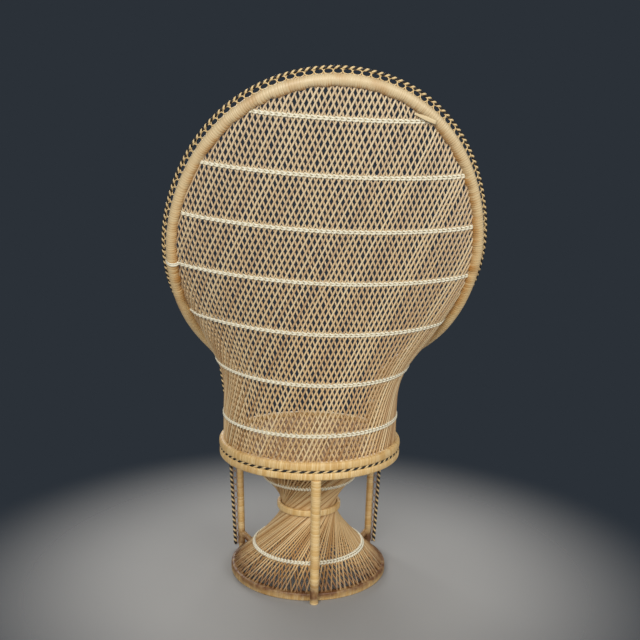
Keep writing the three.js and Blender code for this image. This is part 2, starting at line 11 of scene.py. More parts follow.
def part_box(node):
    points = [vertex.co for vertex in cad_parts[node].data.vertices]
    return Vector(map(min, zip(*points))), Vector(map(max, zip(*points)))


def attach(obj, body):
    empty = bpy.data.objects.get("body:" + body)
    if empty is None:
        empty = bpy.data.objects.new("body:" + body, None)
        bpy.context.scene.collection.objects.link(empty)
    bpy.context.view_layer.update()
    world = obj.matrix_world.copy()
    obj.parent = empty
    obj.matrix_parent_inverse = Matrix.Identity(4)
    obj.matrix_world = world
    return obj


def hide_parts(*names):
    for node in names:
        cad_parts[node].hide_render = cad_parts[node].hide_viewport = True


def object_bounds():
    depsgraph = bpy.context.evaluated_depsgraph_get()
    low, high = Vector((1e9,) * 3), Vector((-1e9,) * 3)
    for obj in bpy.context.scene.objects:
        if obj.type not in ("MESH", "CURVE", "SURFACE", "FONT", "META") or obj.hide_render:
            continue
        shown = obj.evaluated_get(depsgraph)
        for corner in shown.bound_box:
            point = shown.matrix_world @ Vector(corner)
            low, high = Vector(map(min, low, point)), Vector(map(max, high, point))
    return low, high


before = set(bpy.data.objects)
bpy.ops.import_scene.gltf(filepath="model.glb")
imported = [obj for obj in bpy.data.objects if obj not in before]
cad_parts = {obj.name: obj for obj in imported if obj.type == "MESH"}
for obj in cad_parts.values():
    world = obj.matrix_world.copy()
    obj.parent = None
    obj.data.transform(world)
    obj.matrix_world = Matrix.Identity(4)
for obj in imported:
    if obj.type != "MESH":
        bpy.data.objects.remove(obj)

bl_info = {
    "name": "Peacock chair",
    "version": (1, 0, 0),
    "blender": (4, 5, 0),
    "location": "View3D > Sidebar > Peacock chair",
    "description": "Bound poles, crossing reeds and twined cane on the frame of a peacock chair",
    "category": "Add Mesh",
}

MM = 0.001
BODY = "root"
CAD_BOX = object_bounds()


# Places read from the frame
def frame_ring(node):
    """Middle radius, thickness and height of a round hoop, from its box."""
    low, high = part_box(node)
    thick = high.z - low.z
    return (high.x - low.x - thick) / 2, thick, (low.z + high.z) / 2


def frame_middle(node):
    """The middle of a node's box."""
    low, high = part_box(node)
    return (low + high) / 2


LOWER_HOOP = frame_ring("lower_seat_hoop")
UPPER_HOOP = frame_ring("upper_seat_hoop")
WAIST_HOOP = frame_ring("waist_hoop")
FOOT_LOW, FOOT_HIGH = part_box("foot_ring_with_inner_reeds")
AXIS = np.array([*frame_middle("foot_ring_with_inner_reeds").xy, 0.0])
POST_LOW, POST_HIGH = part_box("rear_post")
POST_RADIUS = (POST_HIGH.x - POST_LOW.x) / 2
POST_TOP = POST_HIGH.z
POST_FOOT_REACH = POST_LOW.y + POST_RADIUS - AXIS[1]
POST_TOP_REACH = POST_HIGH.y - POST_RADIUS - AXIS[1]
SEAT_LOW, SEAT_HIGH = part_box("woven_seat")
# Room between pieces that rest on each other
FIT_GAP = 0.3 * MM


# Sizes and colours that a user would change
def linear(code):
    """An sRGB hex colour as the linear values that shaders take."""
    shares = [int(code[i:i + 2], 16) / 255 for i in (1, 3, 5)]
    return tuple(c / 12.92 if c <= 0.04045 else ((c + 0.055) / 1.055) ** 2.4 for c in shares)


def size(name, description, default):
    """A length property, given in metres."""
    return FloatProperty(name=name, description=description, default=default, unit="LENGTH", precision=4)


def turn(name, description, degrees):
    """An angle property, given in degrees."""
    return FloatProperty(name=name, description=description, default=math.radians(degrees), subtype="ANGLE")


def colour(name, description, code):
    """A colour property, given as an sRGB hex value."""
    return FloatVectorProperty(
        name=name, description=description, default=linear(code), size=3, min=0, max=1, subtype="COLOR")


def whole(name, description, default):
    """A whole-number property."""
    return IntProperty(name=name, description=description, default=default)


def ratio(name, description, default):
    """A property that is a share of another size."""
    return FloatProperty(name=name, description=description, default=default)


class BaseSizes(PropertyGroup):
    """The hourglass under the seat, the rails on it and the stays beside it."""
    ring_width: size("Foot ring width", "Width of the bound foot ring", 22 * MM)
    ring_height: size("Foot ring height", "Height of the bound foot ring", 23 * MM)
    waist_radius: size("Waist radius", "To the middle of the two reed layers", 77 * MM)
    top_ring_width: size("Top ring width", "Width of the ring under the seat rails", 18 * MM)
    top_ring_height: size("Top ring height", "Height of the ring under the seat rails", 14 * MM)
    rail_thick: size("Seat rail thickness", "Thickness of the poles that carry the seat", 18 * MM)
    reed_count: whole("Reeds", "Reeds in each of the two layers", 96)
    reed_thick: size("Reed thickness", "Thickness of the hourglass reeds", 4.9 * MM)
    reed_jitter: turn("Reed jitter", "How far hand work moves a reed round the waist", 0.5)
    waist_tape: size("Waist tape", "How far the flat bound waist hoop stands out from the reeds", 11 * MM)
    stay_height: size("Stay height", "Where the bound stay of a front post starts", 52 * MM)
    stay_drop: size("Stay drop", "How far the stay falls on its way to the reeds", 20 * MM)
    stay_thick: size("Stay thickness", "Thickness of the stay", 19 * MM)


class SeatSizes(PropertyGroup):
    """The woven seat and the cord between its two hoops."""
    cord_thick: size("Cord thickness", "Thickness of the twisted cord", 9 * MM)
    cord_pitch: size("Cord pitch", "Length of one full twist of the cord", 25 * MM)
    cord_sink: size("Cord sink", "How far the cord is pressed in between the hoops", 2.5 * MM)
    wale_pitch: size("Twined round pitch", "Between the twined rounds that lock the weave", 38 * MM)
    wale_thick: size("Twined round thickness", "Thickness of a twined round", 9 * MM)
    wale_twist: size("Twined round twist", "Length of one full twist of a twined round", 26 * MM)
    rounds: whole("Rounds", "Plain rounds between two twined ones", 5)
    spoke_count: whole("Spokes", "Spokes that the rounds pass over and under", 56)
    reed_thick: size("Weaver thickness", "Thickness of the woven reed", 5.8 * MM)
    wave: size("Weave height", "How far a round rises over a spoke", 2 * MM)


class PostSizes(PropertyGroup):
    """The three posts, and the edging of the two at the front."""
    front_turn: turn("Front post turn", "From the rear post round to a front post", 125)
    edging_turn: turn("Edging turn", "From straight outwards towards the back", 40)
    rope_top: size("Rope stand-off", "From the post's skin to the rope at its top", 20 * MM)
    rope_foot: size("Rope foot stand-off", "From the post's skin to the rope at its lower end", 9 * MM)
    rope_end: size("Rope end", "Height of the rope's lower end", 14 * MM)
    rope_pitch: size("Rope pitch", "Length of one full twist beside a post", 17 * MM)
    loop_cane: size("Post loop cane", "Thickness of the cane in the chain beside a post", 2 * MM)
    rope_thick: size("Post rope thickness", "Thickness of the twist beside a post", 10.5 * MM)
    front_share: ratio("Front post share", "How thick they are beside the rear one", 0.86)
    rear_swell: ratio("Rear post swell", "How much thicker its top is", 1.2)


class ShellSizes(PropertyGroup):
    """The barrel and the fan. Heights run up along the back, widths round the curve."""
    inset: size("Shell inset", "How far the barrel stands inside the middle of the hoop", 5 * MM)
    fan_radius: size("Fan radius", "Radius of the fan's curve", 890 * MM)
    flare_start: size("Flare start", "Where the barrel begins to open", 105 * MM)
    flare_end: size("Flare end", "Where the fan has its full radius", 700 * MM)
    lean_back: turn("Lean back", "Lean of the fan", 15.7)
    lean_end: size("Lean end", "Where the back has its full lean", 690 * MM)
    lean_side: turn("Side lean", "How far the handmade shell has settled to one side", 2.2)
    lean_side_end: size("Side lean end", "Where it has settled that far", 320 * MM)
    arm_top: size("Arm top", "Where the arms' falling edges leave the fan", 368 * MM)
    fan_reach: size("Fan reach", "From the middle of the back to the rim at its widest", 431 * MM)
    fan_widest: size("Widest height", "Height of the fan's widest place", 490 * MM)
    fan_height: size("Fan height", "Height of the top of the rim", 1015 * MM)
    rim_radius: size("Rim radius", "Radius of the bound rim pole", 13.7 * MM)
    band_count: whole("Bands", "Twined bands across the shell", 7)
    first_band: size("First band", "Height of the lowest band", 71 * MM)
    top_band_drop: size("Top band drop", "From the top of the rim to the highest band", 92 * MM)
    lattice_pitch: size("Lattice pitch", "Between two reeds of a layer", 14.2 * MM)
    lattice_rows: whole("Lattice rows", "Crossings between two bands", 9)
    reed_thick: size("Reed thickness", "Thickness of the lattice reeds", 5.1 * MM)
    reed_jitter: size("Reed jitter", "How far hand work moves a reed", 0.8 * MM)
    reed_dip: size("Reed dip", "How far the reeds pass to the front of the fan's rim pole", 6 * MM)
    arm_dip: size("Arm dip", "The same below, at the arms", 17 * MM)
    dip_width: size("Dip width", "Distance from the rim over which they do so", 70 * MM)


class EdgingSizes(PropertyGroup):
    """Bindings, twined cane and the twisted edging."""
    tilt: turn("Edging tilt", "How far the edging leans to the front of the fan's rim", 8)
    arm_tilt: turn("Arm edging tilt", "The same on the arms, where it stands on the outer side", -115)
    turn_start: size("Edging turn start", "Height at which it begins to turn from one to the other", 100 * MM)
    turn_end: size("Edging turn end", "Height at which it has turned", 270 * MM)
    # Painted light and shade on the rim: these set which side of the rim's peel is painted palest. The
    # opposite side is painted deepest
    painted_light_tilt: turn("Pale side tilt", "Where the fan's rim is palest, from its edge towards the front", -18)
    painted_light_arm_tilt: turn("Arm pale side tilt", "The same on the arms", -130)
    painted_light_start: size("Pale turn start", "Height at which it begins to turn from one to the other", 250 * MM)
    painted_light_end: size("Pale turn end", "Height at which it has turned", 480 * MM)
    rope_thick: size("Rope thickness", "Thickness of the two-strand twist", 9 * MM)
    rope_standoff: size("Rope stand-off", "From the rim's skin to the rope's middle", 14 * MM)
    arm_standoff: size("Arm rope stand-off", "The same on the arms", 26 * MM)
    rope_pitch: size("Rope pitch", "Length of one full twist round the rim", 17.5 * MM)
    loop_pitch: size("Loop pitch", "Length of one oval of the cane chain", 21.5 * MM)
    loop_cane: size("Loop cane", "Thickness of the cane in the chain", 2.9 * MM)
    rim_strip: size("Rim strip", "Width of the peel wound round the rim", 6.6 * MM)
    hoop_strip: size("Hoop strip", "Width of the peel wound round the hoops", 4.4 * MM)
    post_strip: size("Post strip", "Width of the peel wound round the posts", 5.2 * MM)
    groove: size("Groove", "Depth of the groove between two turns of peel", 0.6 * MM)
    rim_groove: size("Rim groove", "The same on the rim, where the peel is wider", 0.4 * MM)
    cane_wide: size("Twining width", "Width of the twined cream cane", 5.4 * MM)
    cane_thick: size("Twining thickness", "Thickness of the twined cream cane", 2.6 * MM)
    twine_rise: size("Twining rise", "How far a twined strand swings up and down", 1.3 * MM)
    twine_row: size("Twining row", "From a band's middle to the middle of each of its two rows", 2.5 * MM)


class ChairColours(PropertyGroup):
    """Colours of the natural and dyed rattan, and of the plain stage."""
    peel: colour("Peel", "Wound rattan peel", "#d5ac67")
    # Also painted light: the near side of the rim's peel runs to this colour
    peel_pale: colour("Pale peel", "Its lightest turns", "#e9cc95")
    # Also painted shade: the far side of the rim's peel runs to this colour
    peel_deep: colour("Deep peel", "Its oldest turns and streaks", "#ad7a3a")
    peel_bleached: colour("Bleached peel", "Peel that has had more light, high on the fan", "#d2c09b")
    reed: colour("Reed", "Round reed of the lattice", "#d0ac76")
    reed_pale: colour("Pale reed", "The lightest reeds", "#e2ca9c")
    reed_deep: colour("Deep reed", "The oldest reeds", "#a87c47")
    # Painted shade: the seat's reed runs to this brown for the shade it lies in. The posts' chain also runs
    # to it
    reed_brown_and_shade: colour("Worn reed", "Reed of the seat, browned by use", "#7f5a30")
    reed_bleached: colour("Bleached reed", "Reed that has had more light, high on the fan", "#d9c7a7")
    cream: colour("Cream cane", "Bleached cane of the bands", "#ebe4cb")
    cream_deep: colour("Cream shade", "Fibres of the bleached cane", "#cdbf9a")
    natural: colour("Natural cane", "Pale strand of the twists and the chain", "#dcc08a")
    natural_deep: colour("Natural shade", "Fibres of the natural cane", "#b8935a")
    black: colour("Black cane", "Dyed strand of the twists", "#120d0a")
    black_worn: colour("Worn black", "Where the dye has worn", "#36281c")
    stain: colour("Stain", "Old damp marks at the foot", "#6d4626")
    floor: colour("Floor", "The plain pale floor", "#9d9c99")
    backdrop: colour("Backdrop", "The plain surroundings", "#2b3138")


class StageSizes(PropertyGroup):
    """Camera and floor."""
    camera_distance: size("Camera distance", "From the chair's axis, along the floor", 2.60)
    camera_height: size("Camera height", "Above the floor", 1.21)
    camera_yaw: turn("Camera yaw", "Round from straight behind the chair", 4.3)
    camera_pitch: turn("Camera pitch", "Downwards", 9.71)
    camera_pan: turn("Camera pan", "Past the chair's axis", 0.57)
    camera_roll: turn("Camera roll", "Of the camera about its own axis", 0.85)
    lens: FloatProperty(
        name="Lens", description="Focal length for a 36 mm sensor", default=50.6, unit="CAMERA")
    floor_pale: size("Pale floor", "Radius of the plain floor", 0.45)
    floor_fade: size("Floor fade", "Width over which it falls into the plain surroundings", 0.75)


# Curves and meshes
def smooth(value, low, high):
    """Rises from 0 at low to 1 at high without a corner."""
    share = np.clip((value - low) / (high - low), 0, 1)
    return share * share * (3 - 2 * share)


def unit(vectors):
    """Vectors of length one."""
    return vectors / np.maximum(np.linalg.norm(vectors, axis=-1, keepdims=True), 1e-12)


def summed(steps):
    """Running totals, from nothing."""
    return np.concatenate([[0], np.cumsum(steps)])


def run_along(points):
    """Distance along a path at each of its points."""
    return summed(np.linalg.norm(np.diff(points, axis=0), axis=1))


def full_turn(count):
    """Even angles round a full turn."""
    return np.arange(count) * 2 * np.pi / count


def around(radius, angle, height):
    """Points at a radius, a turn from the back towards +X, and a height, from the chair's axis."""
    return np.stack(np.broadcast_arrays(radius * np.sin(angle), radius * np.cos(angle), height), -1)


class Line:
    """A path with a side direction at each of its points, measured along its length."""

    def __init__(self, points, sides, closed=False):
        if closed:
            points, sides = [np.concatenate([a, a[:1]]) for a in (points, sides)]
        self.closed = closed
        self.points, self.sides = points, sides
        self.distance = run_along(points)
        self.length = self.distance[-1]
        self.tangents = unit(np.gradient(points, self.distance, axis=0))
        if closed:
            self.tangents[0] = self.tangents[-1] = unit(self.tangents[1] + self.tangents[-2])

    def at(self, distance):
        """Points, side directions and normals at these distances."""
        place = distance % self.length if self.closed else np.clip(distance, 0, self.length)
        point, side, tangent = [
            np.stack([np.interp(place, self.distance, a[:, k]) for k in range(3)], -1)
            for a in (self.points, self.sides, self.tangents)]
        normal = unit(np.cross(side, tangent))
        return point, unit(np.cross(tangent, normal)), normal


def circle(radius, height, steps=360):
    """A level circle round the chair's axis, with its sides pointing outwards."""
    angle = full_turn(steps)
    return Line(around(radius, -angle, height), around(1.0, -angle, 0.0), closed=True)


def straight(start, end, side, points=9):
    """A straight line between two points."""
    return Line(np.linspace(start, end, points), np.tile(side, (points, 1)))


def rings(centres, normals, wide, thick, sides=6, closed=False):
    """Rings of points round a path: wide across it, and thick along the given normals."""
    if closed:
        tangents = np.roll(centres, -1, 0) - np.roll(centres, 1, 0)
    else:
        tangents = np.gradient(centres, axis=0)
    across = unit(np.cross(tangents, normals))
    upright = unit(np.cross(across, tangents))
    angle = full_turn(sides)
    wide, thick = [np.broadcast_to(a, len(centres))[:, None, None] / 2 for a in (wide, thick)]
    return (centres[:, None] + across[:, None] * wide * np.cos(angle)[:, None]
            + upright[:, None] * thick * np.sin(angle)[:, None])


def ring_corners(start, end):
    """At each quad's corners, values that change from ring to ring."""
    return np.stack([start, end, end, start], -1)[:, None]


def side_corners(sides):
    """At each quad's corners, its place round the ring, counted in sides."""
    side = np.arange(sides)
    return np.stack([side, side, side + 1, side + 1], -1)


def side_length(ring):
    """Mean length of a ring's sides."""
    return np.linalg.norm(ring - np.roll(ring, 1, 0), axis=1).sum() / len(ring)


class Strands:
    """Gathers swept strands into one mesh. Each vertex keeps a tone, and the map is in metres."""

    def __init__(self):
        self.points, self.faces, self.maps, self.tones, self.finishes = [], [], [], [], []
        self.total = 0

    def add(self, shape, closed=False, tone=0.5, finish=0, maps=None):
        """Adds one strand from its rings of points, with a flat cap at each open end."""
        rows, sides = shape.shape[:2]
        spans = rows if closed else rows - 1
        row, side = np.meshgrid(np.arange(spans), np.arange(sides), indexing="ij")
        after, beside = (row + 1) % rows, (side + 1) % sides
        quads = np.stack([row * sides + side, after * sides + side,
                          after * sides + beside, row * sides + beside], -1) + self.total
        self.faces += quads.reshape(-1, 4).tolist()
        if maps is None:
            maps = self.plain_map(shape, spans, closed)
        self.maps.append(maps.reshape(-1, 2))
        count = spans * sides
        if not closed:
            first = np.arange(sides) + self.total
            self.faces += [first.tolist(), (first + (rows - 1) * sides)[::-1].tolist()]
            self.maps.append(np.zeros((2 * sides, 2)))
            count += 2
        self.finishes.append(np.full(count, finish))
        self.points.append(shape.reshape(-1, 3))
        self.tones.append(np.broadcast_to(tone, (rows, sides)).ravel())
        self.total += rows * sides

    def plain_map(self, shape, spans, closed):
        """A map that runs along the strand and round it."""
        sides = shape.shape[1]
        middles = shape.mean(1)
        if closed:
            middles = np.concatenate([middles, middles[:1]])
        along = run_along(middles)
        maps = np.empty((spans, sides, 4, 2))
        maps[..., 0] = ring_corners(along[:spans], along[1:spans + 1])
        maps[..., 1] = side_corners(sides) * side_length(shape[0])
        return maps

    def piece(self, name, materials, slot, *nodes):
        """Makes the mesh, rides it on the body and lets it stand for the given nodes."""
        mesh = bpy.data.meshes.new(name)
        mesh.from_pydata(np.concatenate(self.points) + AXIS, [], self.faces)
        for finish in materials:
            mesh.materials.append(finish)
        mesh.polygons.foreach_set("material_index", np.concatenate(self.finishes).astype(np.int32))
        layer = mesh.uv_layers.new(name="strand")
        layer.data.foreach_set("uv", np.concatenate(self.maps).astype(np.float32).ravel())
        # The tone holds each strand's own tone. It also holds painted light and shade: on the rim's sides, on
        # the inner reeds of hourglass and lattice, and on the seat
        tone = mesh.attributes.new("tone", "FLOAT", "POINT")
        tone.data.foreach_set("value", np.concatenate(self.tones).astype(np.float32))
        mesh.shade_smooth()
        mesh.validate()
        made = bpy.data.objects.new(name, mesh)
        bpy.context.scene.collection.objects.link(made)
        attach(made, BODY)
        if nodes:
            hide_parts(*nodes)


# Where a turn of peel starts, rises, crowns and falls, as shares of its width
TURN_SHARES = np.array([0.0, 0.16, 0.5, 0.84])
TURN_CROWN = 0.15 * MM
# How far a turn lies askew on the pole, as a share of its width, and how far one stands out from the next
TURN_TILT = 0.28
TURN_UNEVEN = 0.12 * MM
# Spread of the turns' widths and tones, and how much deeper the seam between two of them is
TURN_WIDTHS = 0.65, 1.35
TURN_TONES = 0.45, 1.0
SEAM_DROP = 0.3
# Turns of a pole that share one lump, how the lumps run into each other, and how much browner they are. This
# browning lies on the far side and adds to the painted shade there
BUNCH_TURNS = 3
BUNCH_BLEND = 0.2, 0.6, 0.2
BUNCH_DROP = 0.35


def bind(strands, line, section, strip, groove, draw, shade=0.0, lumps=0.0, swell=1.0):
    """Winds flat peel closely round a pole. The section is a ring of offsets along side and normal, and grows
    by the swell towards the end. The shade is painted shade and light: it deepens the colour of the far side
    and pales the side that the side direction points to. The lumps stand on the far side."""
    turns = max(3, round(line.length / strip))
    pace = line.length / turns
    sides = len(section)
    edges = summed(draw.uniform(*TURN_WIDTHS, turns))
    edges *= turns / edges[-1]
    rows = (edges[:-1, None] + TURN_SHARES * np.diff(edges)[:, None]).ravel()
    rise = np.tile([-groove, 0, TURN_CROWN, 0], turns)
    number = np.repeat(np.arange(turns), len(TURN_SHARES))
    if not line.closed:
        rows, rise, number = np.append(rows, turns), np.append(rise, -groove), np.append(number, turns - 1)
    ease = np.ones_like(rows) if line.closed else np.clip(np.minimum(rows, turns - rows), 0, 1)
    angle = full_turn(sides)
    place = (rows[:, None] + TURN_TILT * ease[:, None] * np.sin(angle)) * pace
    lift = (rise + draw.uniform(-TURN_UNEVEN, TURN_UNEVEN, turns)[number])[:, None]
    bunches = np.convolve(draw.uniform(0, 1, turns)[np.arange(turns) // BUNCH_TURNS], BUNCH_BLEND, "same")
    lumpy = bunches[number][:, None] * np.maximum(0, -np.cos(angle))
    lift = lift + lumps * lumpy
    point, side, normal = line.at(place)
    reach = section / np.linalg.norm(section, axis=1, keepdims=True)
    grown = section[None] * (1 + (swell - 1) * rows / turns)[:, None, None]
    offset = grown + reach[None] * lift[..., None]
    shape = point + side * offset[..., :1] + normal * offset[..., 1:]
    # Painted shade and light: the far side of the section gets a lower tone, which deepens its colour, and
    # the near side gets a higher one, which pales it
    tone = draw.uniform(*TURN_TONES, turns)[number][:, None] * (1 - shade) + shade * (1 + np.cos(angle)) / 2
    tone = tone - np.where(rise[:, None] < 0, SEAM_DROP, 0)
    if lumps:
        tone = tone - BUNCH_DROP * lumpy

    spans = len(rows) if line.closed else len(rows) - 1
    maps = np.empty((spans, sides, 4, 2))
    maps[..., 0] = (side_corners(sides) + number[:spans, None, None] * sides) * side_length(section)
    share = np.append(TURN_SHARES, 1.0)
    step = np.arange(spans) % len(TURN_SHARES)
    maps[..., 1] = ring_corners(share[step], share[step + 1]) * pace
    strands.add(shape, line.closed, tone, maps=maps)


def round_section(radius, sides=14):
    """A round pole's section."""
    angle = full_turn(sides)
    return np.stack([np.cos(angle), np.sin(angle)], -1) * radius


def flat_section(width, height, sides=20, squareness=0.42):
    """The section of a flat ring with well rounded edges."""
    angle = full_turn(sides)
    x, y = [np.sign(a) * np.abs(a) ** squareness for a in (np.cos(angle), np.sin(angle))]
    return np.stack([x * width / 2, y * height / 2], -1)


# Spread of tone from cane to cane
CANE_TONES = 0.2, 0.8
# A twist's steps in a turn, its strands' shares of its thickness (natural, black), their fullness and sides
TWIST_STEPS = 12
STRAND_SHARES = 0.58, 0.68
STRAND_FULLNESS = 1.08
STRAND_SIDES = 7


def twist(strands, line, thick, pitch, start, end, draw,
          shares=STRAND_SHARES, finishes=(0, 1), tones=CANE_TONES):
    """Two strands laid round each other, the first natural and the second black unless told otherwise."""
    turns = max(1, round((end - start) / pitch))
    place = np.linspace(start, end, turns * TWIST_STEPS + 1)
    if line.closed:
        place = place[:-1]
    point, side, normal = line.at(place)
    angle = (place - start) / (end - start) * turns * 2 * np.pi
    for half, share, finish in zip((0, np.pi), shares, finishes):
        here = angle + half
        wide = thick * share
        swing = (thick - wide) / 2
        offset = side * np.cos(here)[:, None] + normal * np.sin(here)[:, None]
        shape = rings(point + offset * swing, offset, wide * STRAND_FULLNESS, wide, STRAND_SIDES, line.closed)
        strands.add(shape, line.closed, draw.uniform(*tones), finish)


# Materials
def add_node(tree, kind, links=(), values=(), **settings):
    """Adds a node with its settings, its input values and the links that come into it."""
    made = tree.nodes.new(kind)
    for name, value in settings.items():
        setattr(made, name, value)
    for socket, value in dict(values).items():
        made.inputs[socket].default_value = value
    for socket, source in dict(links).items():
        tree.links.new(source, made.inputs[socket])
    return made


def opaque(value):
    """A colour with full alpha."""
    return (*value, 1.0)


def new_material(name):
    """An empty material, its tree and its shader."""
    made = bpy.data.materials.new(name)
    made.use_nodes = True
    return made, made.node_tree, made.node_tree.nodes["Principled BSDF"]


# Sockets of the colour mix node
FACTOR, FIRST, SECOND, RESULT = 0, 6, 7, 2


def fibres(tree, along, across):
    """Noise drawn out along a strand: fibres of the given length and width in metres."""
    where = add_node(tree, "ShaderNodeTexCoord")
    scaled = add_node(tree, "ShaderNodeMapping", {"Vector": where.outputs["UV"]},
                      {"Scale": (1 / along, 1 / across, 1)})
    return add_node(tree, "ShaderNodeTexNoise", {"Vector": scaled.outputs["Vector"]},
                    {"Scale": 1.0, "Detail": 3.0, "Roughness": 0.6}).outputs["Fac"]


def patches(tree, breadth):
    """Soft patches of the given breadth in metres, through the whole chair."""
    where = add_node(tree, "ShaderNodeTexCoord")
    return add_node(tree, "ShaderNodeTexNoise", {"Vector": where.outputs["Object"]},
                    {"Scale": 1 / breadth, "Detail": 2.0}).outputs["Fac"]


def floor_height(tree):
    """Height above the floor in metres."""
    where = add_node(tree, "ShaderNodeTexCoord")
    return add_node(tree, "ShaderNodeSeparateXYZ", {"Vector": where.outputs["Object"]}).outputs["Z"]


def mixed(tree, amount, low, high, first, second):
    """Mixes two colours by an amount that runs from low to high. A colour is a value or a socket."""
    share = add_node(tree, "ShaderNodeMapRange", {"Value": amount}, {"From Min": low, "From Max": high})
    links = {FACTOR: share.outputs["Result"]}
    values = {}
    for socket, source in ((FIRST, first), (SECOND, second)):
        if isinstance(source, bpy.types.NodeSocket):
            links[socket] = source
        else:
            values[socket] = opaque(source)
    return add_node(tree, "ShaderNodeMix", links, values, data_type="RGBA").outputs[RESULT]


# Damp has browned the peel and the reeds where they meet the foot ring, the peel more than the reeds
STAIN_LOW, STAIN_PEAK, STAIN_HIGH = -6 * MM, 26 * MM, 80 * MM
STAIN_PATCH = 22 * MM
PEEL_STAIN, REED_STAIN = 1.9, 1.3
# The fan has had more light than the base: bleaching starts at the first height and would end at the second
PEEL_BLEACH = 0.4, 1.7
REED_BLEACH = 0.3, 2.0


def stained(tree, clean, stain, strength):
    """Browns a colour round the height of the foot ring's top, in uneven patches."""
    level = floor_height(tree)
    rising = add_node(tree, "ShaderNodeMapRange", {"Value": level},
                      {"From Min": STAIN_LOW, "From Max": STAIN_PEAK}, interpolation_type="SMOOTHSTEP")
    falling = add_node(tree, "ShaderNodeMapRange", {"Value": level},
                       {"From Min": STAIN_HIGH, "From Max": STAIN_PEAK}, interpolation_type="SMOOTHSTEP")
    both = add_node(tree, "ShaderNodeMath", {0: rising.outputs["Result"], 1: falling.outputs["Result"]},
                    operation="MULTIPLY")
    uneven = add_node(tree, "ShaderNodeMath", {0: both.outputs["Value"], 1: patches(tree, STAIN_PATCH)},
                      operation="MULTIPLY")
    return mixed(tree, uneven.outputs["Value"], 0.0, 1 / strength, clean, stain)


# Between these values of its noise the grain varies the gloss, and it stands out with this strength
GRAIN_LOW, GRAIN_HIGH, GRAIN_STRENGTH = 0.25, 0.75, 0.6


def finish_shader(tree, shader, base, grain, roughness, relief):
    """Links the colour, and lets the fibres vary the gloss and stand out a little."""
    gloss = add_node(tree, "ShaderNodeMapRange", {"Value": grain},
                     {"From Min": GRAIN_LOW, "From Max": GRAIN_HIGH,
                      "To Min": roughness[0], "To Max": roughness[1]})
    bump = add_node(tree, "ShaderNodeBump", {"Height": grain},
                    {"Strength": GRAIN_STRENGTH, "Distance": relief})
    tree.links.new(base, shader.inputs["Base Color"])
    tree.links.new(gloss.outputs["Result"], shader.inputs["Roughness"])
    tree.links.new(bump.outputs["Normal"], shader.inputs["Normal"])


def peel_binding(colours):
    """Rattan peel, the glossy outer skin of the vine split into flat strips and wound by hand.
    It gives the eye satin highlights, straw-coloured turns that each differ a little, and brown flecks."""
    made, tree, shader = new_material("rattan_peel_binding")
    tone = add_node(tree, "ShaderNodeAttribute", attribute_name="tone").outputs["Fac"]
    grain = fibres(tree, along=30 * MM, across=1.1 * MM)
    # High tones run to pale peel: each turn's own tone, and on the rim also painted light on its near side
    turns = mixed(tree, tone, 0.4, 1.0, colours.peel, colours.peel_pale)
    bleached = mixed(tree, floor_height(tree), *PEEL_BLEACH, turns, colours.peel_bleached)
    # Low tones run to deep peel: the seams between turns, and on the rim painted shade on its far side
    seamed_and_shaded = mixed(tree, tone, 0.0, 0.45, colours.peel_deep, bleached)
    streaked = mixed(tree, grain, 0.5, 0.95, seamed_and_shaded, colours.peel_deep)
    aged = mixed(tree, patches(tree, breadth=70 * MM), 0.52, 0.95, streaked, colours.peel_deep)
    base = stained(tree, aged, colours.stain, PEEL_STAIN)
    finish_shader(tree, shader, base, grain, roughness=(0.36, 0.56), relief=0.25 * MM)
    return made


def round_reed(colours):
    """Rattan core drawn into round reed. It is matt and open-grained, and every length has its own tan,
    from pinkish and pale to golden brown."""
    made, tree, shader = new_material("rattan_core_reed")
    tone = add_node(tree, "ShaderNodeAttribute", attribute_name="tone").outputs["Fac"]
    grain = fibres(tree, along=45 * MM, across=1.2 * MM)
    lengths = mixed(tree, tone, 0.05, 0.6, colours.reed_pale, colours.reed)
    aged = mixed(tree, tone, 0.62, 1.0, lengths, colours.reed_deep)
    # Tones over 1 run to a brown reed: painted shade on the seat, and a browner chain beside the posts
    browned_and_shaded = mixed(tree, tone, 1.0, 2.0, aged, colours.reed_brown_and_shade)
    streaked = mixed(tree, grain, 0.5, 0.9, browned_and_shaded, colours.reed_deep)
    bleached = mixed(tree, floor_height(tree), *REED_BLEACH, streaked, colours.reed_bleached)
    base = stained(tree, bleached, colours.stain, REED_STAIN)
    finish_shader(tree, shader, base, grain, roughness=(0.44, 0.64), relief=0.3 * MM)
    return made


def split_cane(name, plain, fibre, length, width, start, roughness):
    """Cane of one colour with fibres of another, which show where their noise is over the start."""
    made, tree, shader = new_material(name)
    grain = fibres(tree, length, width)
    base = mixed(tree, grain, start, 0.95, plain, fibre)
    finish_shader(tree, shader, base, grain, roughness, relief=0.25 * MM)
    return made


def cream_cane(colours):
    """Bleached split cane, twined in pairs. It is paler and flatter than the reeds that it grips."""
    return split_cane(
        "bleached_split_cane", colours.cream, colours.cream_deep,
        length=18 * MM, width=1.3 * MM, start=0.45, roughness=(0.5, 0.7))


def natural_cane(colours):
    """Undyed cane, split and smooth, with a satin skin."""
    return split_cane(
        "natural_split_cane", colours.natural, colours.natural_deep,
        length=22 * MM, width=1.2 * MM, start=0.48, roughness=(0.4, 0.6))


def black_cane(colours):
    """Cane dyed black before twisting. The dye has worn brown along the fibres."""
    return split_cane(
        "black_dyed_cane", colours.black, colours.black_worn,
        length=16 * MM, width=1.2 * MM, start=0.55, roughness=(0.45, 0.65))


MATERIAL_MAKERS = {
    "rattan_peel_binding": peel_binding,
    "rattan_core_reed": round_reed,
    "bleached_split_cane": cream_cane,
    "natural_split_cane": natural_cane,
    "black_dyed_cane": black_cane,
}


def material(context, name):
    """The named material, made when it is first asked for."""
    found = bpy.data.materials.get(name)
    return found or MATERIAL_MAKERS[name](context.scene.chair_colours)


